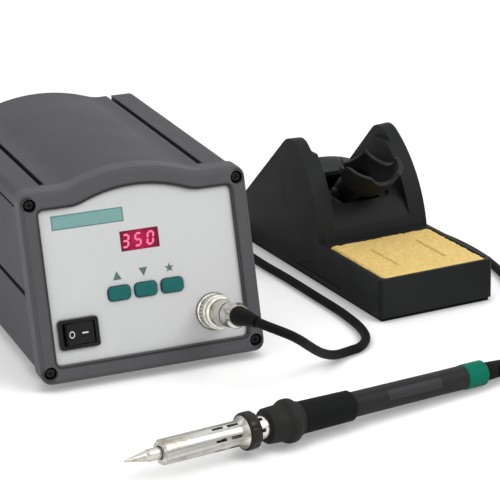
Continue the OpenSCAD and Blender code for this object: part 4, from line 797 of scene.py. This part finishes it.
# %% [markdown]
# ## A bare label
# At the top left of the face such a panel has a printed label. It is left bare here: a pale
# teal field 38 mm wide in a darker line, with nothing written on it.

# %% Label plate
moulded("label_field", "pale_teal_label", "#7fa9a6", 0.45, 0.25, 0.004, cloud=0.06,
        rub=0.02, patch_mm=6)
moulded("label_line", "teal_label_line", "#5c928e", 0.45, 0.25, 0.004, cloud=0.05, rub=0.02)
label_u, label_v, label_w, label_h, label_edge = -26.4, 85.9, 38.4, 7.4, 0.5


def rectangle(low_x, low_y, high_x, high_y):
    return [(low_x, low_y), (high_x, low_y), (high_x, high_y), (low_x, high_y)]


w, h = label_w / 2, label_h / 2
outer = rectangle(-w, -h, w, h)
inner = rectangle(label_edge - w, label_edge - h, w - label_edge, h - label_edge)
line = [[outer[i - 1], outer[i], inner[i], inner[i - 1]] for i in range(4)]
for name, outlines in (("label_field", [inner]), ("label_line", line)):
    printed(name, outlines, on_face(label_u, label_v, prints_w), name)
print("label:", label_w, "by", label_h, "mm")

# %% [markdown]
# ## Marks on the power switch
# The rocker has two faces that meet in a shallow valley. A ring for off is printed on the
# left one and a dash for on on the right one, in white ink, and both tip with the rocker.

# %% Ring and dash
moulded("white_ink", "white_ink", "#e4e4e2", 0.5, 0.25, 0.004, cloud=0.04, rub=0.02)
# in mm: the valley's place on the face, the marks' sizes and their distances from the valley
valley_u, valley_w, rocker_v = -38.06, -0.546, 28.7
ring_out, ring_in, dash_length, dash_line = 1.85, 1.3, 3.2, 0.8
off_shift, on_shift = 5.3, 2.8
tip_angle, ring_sides = math.radians(24), 40
turns = [math.tau * i / ring_sides for i in range(ring_sides)]
ring = [[(r * math.cos(t), r * math.sin(t)) for r, t in
         ((ring_out, a), (ring_out, b), (ring_in, b), (ring_in, a))]
        for a, b in zip(turns, turns[1:] + turns[:1])]
dash = [rectangle(-dash_length / 2, -dash_line / 2, dash_length / 2, dash_line / 2)]
off_place = on_face(valley_u - off_shift * math.cos(tip_angle), rocker_v,
                    valley_w + off_shift * math.sin(tip_angle), turn=tip_angle)
on_place = on_face(valley_u + on_shift, rocker_v, valley_w)
for name, outlines, place in (("off_ring", ring, off_place), ("on_dash", dash, on_place)):
    printed(name, outlines, place, "white_ink", "rocker")
print("a ring", 2 * ring_out, "mm wide and a dash", dash_length, "mm long")

# %% [markdown]
# ## Patch on the handle
# The handle carries a smooth raised patch that curves with it. It is left bare. It is made
# as a strip of the handle's own cylinder, about a tenth of a millimetre proud of it. Places
# on the handpiece are told by the distance from its tip, an angle and a radius.

# %% Places round the handpiece
hand_length = 241  # mm from the soldering tip to the cord relief's end
sideways = Vector((hand_dir.y, -hand_dir.x, 0)).normalized()
upwards = sideways.cross(hand_dir)


def handle_point(s, angle, radius):
    """The place s mm from the tip, at an angle and a radius in mm round the handpiece."""
    out = math.cos(angle) * sideways + math.sin(angle) * upwards
    return MM * (relief_tip + (s - hand_length) * hand_dir + radius * out)


def thicken_inwards(mesh, radius):
    """Gives a skin round the handpiece's axis an inner side at a radius in mm."""
    grown = bmesh.ops.extrude_face_region(mesh, geom=mesh.faces[:])["geom"]
    for corner in [v for v in grown if isinstance(v, bmesh.types.BMVert)]:
        centre = MM * relief_tip + hand_dir * (corner.co - MM * relief_tip).dot(hand_dir)
        corner.co = centre + (corner.co - centre).normalized() * radius * MM


print("upwards from the handpiece is", [round(c, 2) for c in upwards])

# %% Curved patch
# in mm: the handle's radius, the patch's ends and width, and its skins outside and inside
handle_r, patch_low, patch_high, patch_width, proud, sunk = 6.2, 147.0, 180.0, 5.4, 0.12, 0.1
patch_rows, patch_columns = 24, 12
facing = math.radians(28)
half_turn = patch_width / 2 / handle_r
moulded("patch", "smooth_grey_patch", "#363639", 0.35, 0.4, 0.006, cloud=0.04, rub=0.1,
        shine=0.12)
mesh = bmesh.new()
rows = []
for i in range(patch_rows + 1):
    t = i / patch_rows
    # the last twentieth at each end is up to an eighth narrower, so the corners look round
    narrow = 1 - 0.12 * max(0, abs(2 * t - 1) - 0.9) / 0.1
    angles = [facing + narrow * half_turn * (2 * k / patch_columns - 1)
              for k in range(patch_columns + 1)]
    rows.append([mesh.verts.new(handle_point(patch_low + t * (patch_high - patch_low), angle,
                                             handle_r + proud)) for angle in angles])
for row, following in zip(rows, rows[1:]):
    for k in range(patch_columns):
        mesh.faces.new((row[k], row[k + 1], following[k + 1], following[k]))
thicken_inwards(mesh, handle_r - sunk)
patch = finished_object("handle_patch", mesh, "patch")
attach(patch, "handpiece")
print("patch:", patch_high - patch_low, "by", patch_width, "mm")

# %% [markdown]
# ## Flare, nut, neck and cap
# The barrel ends in a flare, and a fluted nut clamps it there. Behind the nut shows a plated
# neck with six slots that keep the heat from the grip, and then the nylon cap with its round
# flange. All four are turned pieces, so each is a list of distances from the tip with a
# radius at each, swept round the axis. A dent draws the nut's radius in at its flutes, and
# the neck's slots are faces left out before its wall gets a thickness.

# %% Outlines of the turned pieces, in mm
flare_outline = [(61.6, 6.22), (62.8, 6.6), (64.0, 7.4), (64.7, 8.0), (65.9, 8.0), (65.9, 6.22)]
nut_outline = [(67.0, 6.4), (66.0, 6.4), (66.0, 8.05), (64.7, 8.05), (64.9, 8.75), (65.8, 9.25),
               (66.8, 9.3), (69.8, 9.3), (70.7, 8.9), (71.2, 8.2), (71.3, 7.4), (71.3, 6.1),
               (70.6, 6.1), (70.6, 7.4), (67.0, 7.4)]
neck_outline = [(67.7, 5.8), (72.3, 5.8), (74.7, 5.8), (77.4, 5.8)]
cap_outline = [(77.4, 4.9), (77.4, 7.6), (77.7, 8.3), (78.5, 8.7), (84.5, 9.0), (86.2, 9.2),
               (87.4, 9.8), (88.4, 10.45), (89.5, 10.8), (91.9, 10.8), (92.9, 10.5),
               (93.6, 9.8), (93.9, 8.7), (96.4, 8.5), (96.4, 5.6), (84.4, 5.6), (84.4, 4.9)]
neck_bore = 5.1
print("points in the cap's outline:", len(cap_outline))

# %% Turned pieces
columns, slot_pitch, slot_columns = 96, 16, 5
flutes, flute_mm, flute_from, flute_to, flute_floor = 12, 0.45, 66.5, 71, 8


def flute(s, r, angle):
    """How far the nut's flutes draw its radius in, in mm, on its rim alone."""
    on_rim = flute_from < s < flute_to and r > flute_floor
    return flute_mm * max(0, math.cos(flutes * angle)) ** 2 if on_rim else 0


def turned(outline, closed=True, dent=lambda s, r, angle: 0, slotted=()):
    """A skin swept round the handpiece's axis, joined to itself when its outline is closed."""
    mesh = bmesh.new()
    angles = [math.tau * k / columns for k in range(columns)]
    rings = [[mesh.verts.new(handle_point(s, a, r - dent(s, r, a))) for a in angles]
             for s, r in outline]
    pairs = zip(rings, rings[1:] + rings[:1] if closed else rings[1:])
    for place, (ring, following) in enumerate(pairs):
        for k in range(columns):
            if place in slotted and k % slot_pitch < slot_columns:
                continue
            after = (k + 1) % columns
            mesh.faces.new((ring[k], ring[after], following[after], following[k]))
    return mesh


neck_mesh = turned(neck_outline, closed=False, slotted=(1,))
thicken_inwards(neck_mesh, neck_bore)
# each piece's name, mesh, body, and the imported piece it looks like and, but for the flare,
# stands for
for name, mesh, body, like in (
        ("barrel_flare", turned(flare_outline), "handpiece", "barrel"),
        ("fluted_nut", turned(nut_outline, dent=flute), "barrel_nut", "barrel_nut"),
        ("slotted_neck", neck_mesh, "handpiece", "neck"),
        ("flanged_cap", turned(cap_outline), "handpiece", "front_cap")):
    piece = finished_object(name, mesh, own_look.get(like, slots[like]), smooth=True)
    piece.modifiers.new("smooth", "NODES").node_group = smoothing
    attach(piece, body)
    if like != "barrel":
        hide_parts(like)
    print(name, "faces:", len(piece.data.polygons))

# %% [markdown]
# ## Floor
# The station stands on white paper, as in a small light tent. Paper that only reflects light
# would turn grey away from the lamps, so it also glows a little, and more farther off. Only
# the camera and reflections see that glow, so it doesn't light the object from below. A
# painted shadow also darkens the paper where a piece lies close above it.

# %% Floor
paper = "#f6f6f6"
floor_lift, far_lift = 0.26, 0.7


def seen_directly(tree):
    """1 for rays from the camera and for reflected and transmitted ones, otherwise 0."""
    rays = add(tree, "LightPath").outputs
    first = add(tree, "Math", {0: rays["Is Camera Ray"], 1: rays["Is Glossy Ray"]},
                operation="MAXIMUM")
    return add(tree, "Math", {0: first, 1: rays["Is Transmission Ray"]}, operation="MAXIMUM")


mesh = bmesh.new()
bmesh.ops.create_grid(mesh, x_segments=8, y_segments=8, size=4.0)
mesh.transform(Matrix.Translation((0, 0, -0.02 * MM)))
tree, shader, place = new_finish("floor", "white_paper", paper, 0.9)
from_part = add(tree, "VectorMath", {0: place}, operation="LENGTH").outputs["Value"]
by_distance = add(tree, "MapRange", {"Value": from_part, "From Min": 0.5, "From Max": 2.5,
                                     "To Min": floor_lift, "To Max": far_lift})
lift = add(tree, "Math", {0: seen_directly(tree), 1: by_distance}, operation="MULTIPLY")
# painted shadow: the paper darkens to 0.4 where a piece lies within 8 mm, on top of the lamps' own shadows
paper_with_painted_shadow = painted_occlusion_shade(tree, linear(paper)[:3], reach_mm=8, darkest=0.4)
fill(shader, {"Base Color": paper_with_painted_shadow, "Emission Color": (1, 1, 1, 1), "Emission Strength": lift})
floor = finished_object("floor", mesh, "floor")
print("floor lift:", floor_lift, "to", far_lift)

# %% [markdown]
# ## World
# The tent's walls are the world. They show white to the camera and in reflections, but the
# light that they give the object is kept lower, so that the lamps can shape it.

# %% World
world_level = 0.6
world = bpy.data.worlds.new("light_tent")
world.use_nodes = True
bpy.context.scene.world = world
tree = world.node_tree
sky = add(tree, "MixRGB", {"Fac": seen_directly(tree), "Color1": (world_level,) * 3 + (1,),
                           "Color2": (1, 1, 1, 1)})
fill(tree.nodes["Background"], {"Color": sky})
print("world level:", world_level)

# %% [markdown]
# ## Lamps
# Three large square lamps give soft shadows. The key lamp is to the front right and high, so
# the unit's roof and front are even and its shadow falls to the back left. A weak one at the
# left and one overhead keep the shaded sides readable. Each one's plan is its place and size
# in metres and its power in watts.

# %% Lamps
lamp_aim = Vector((0.05, 0, 0.05))
lamp_plan = {"key": ((0.95, -1.05, 1.45), 1.1, 15), "side": ((-1.5, -0.7, 0.9), 1.4, 4),
             "top": ((0.1, 0.25, 1.9), 1.8, 4)}
for name, (spot, size, watts) in lamp_plan.items():
    lamp = bpy.data.objects.new(name, bpy.data.lights.new(name, "AREA"))
    lamp.data.shape = "SQUARE"
    lamp.data.size = size
    lamp.data.energy = watts
    lamp.location = spot
    lamp.rotation_euler = (lamp_aim - Vector(spot)).to_track_quat("-Z", "Y").to_euler()
    bpy.context.scene.collection.objects.link(lamp)
print("lamps:", len(lamp_plan))

# %% [markdown]
# ## The end
# The standard view shows colours as they are written.

# %% Finish
bpy.context.scene.view_settings.view_transform = "Standard"
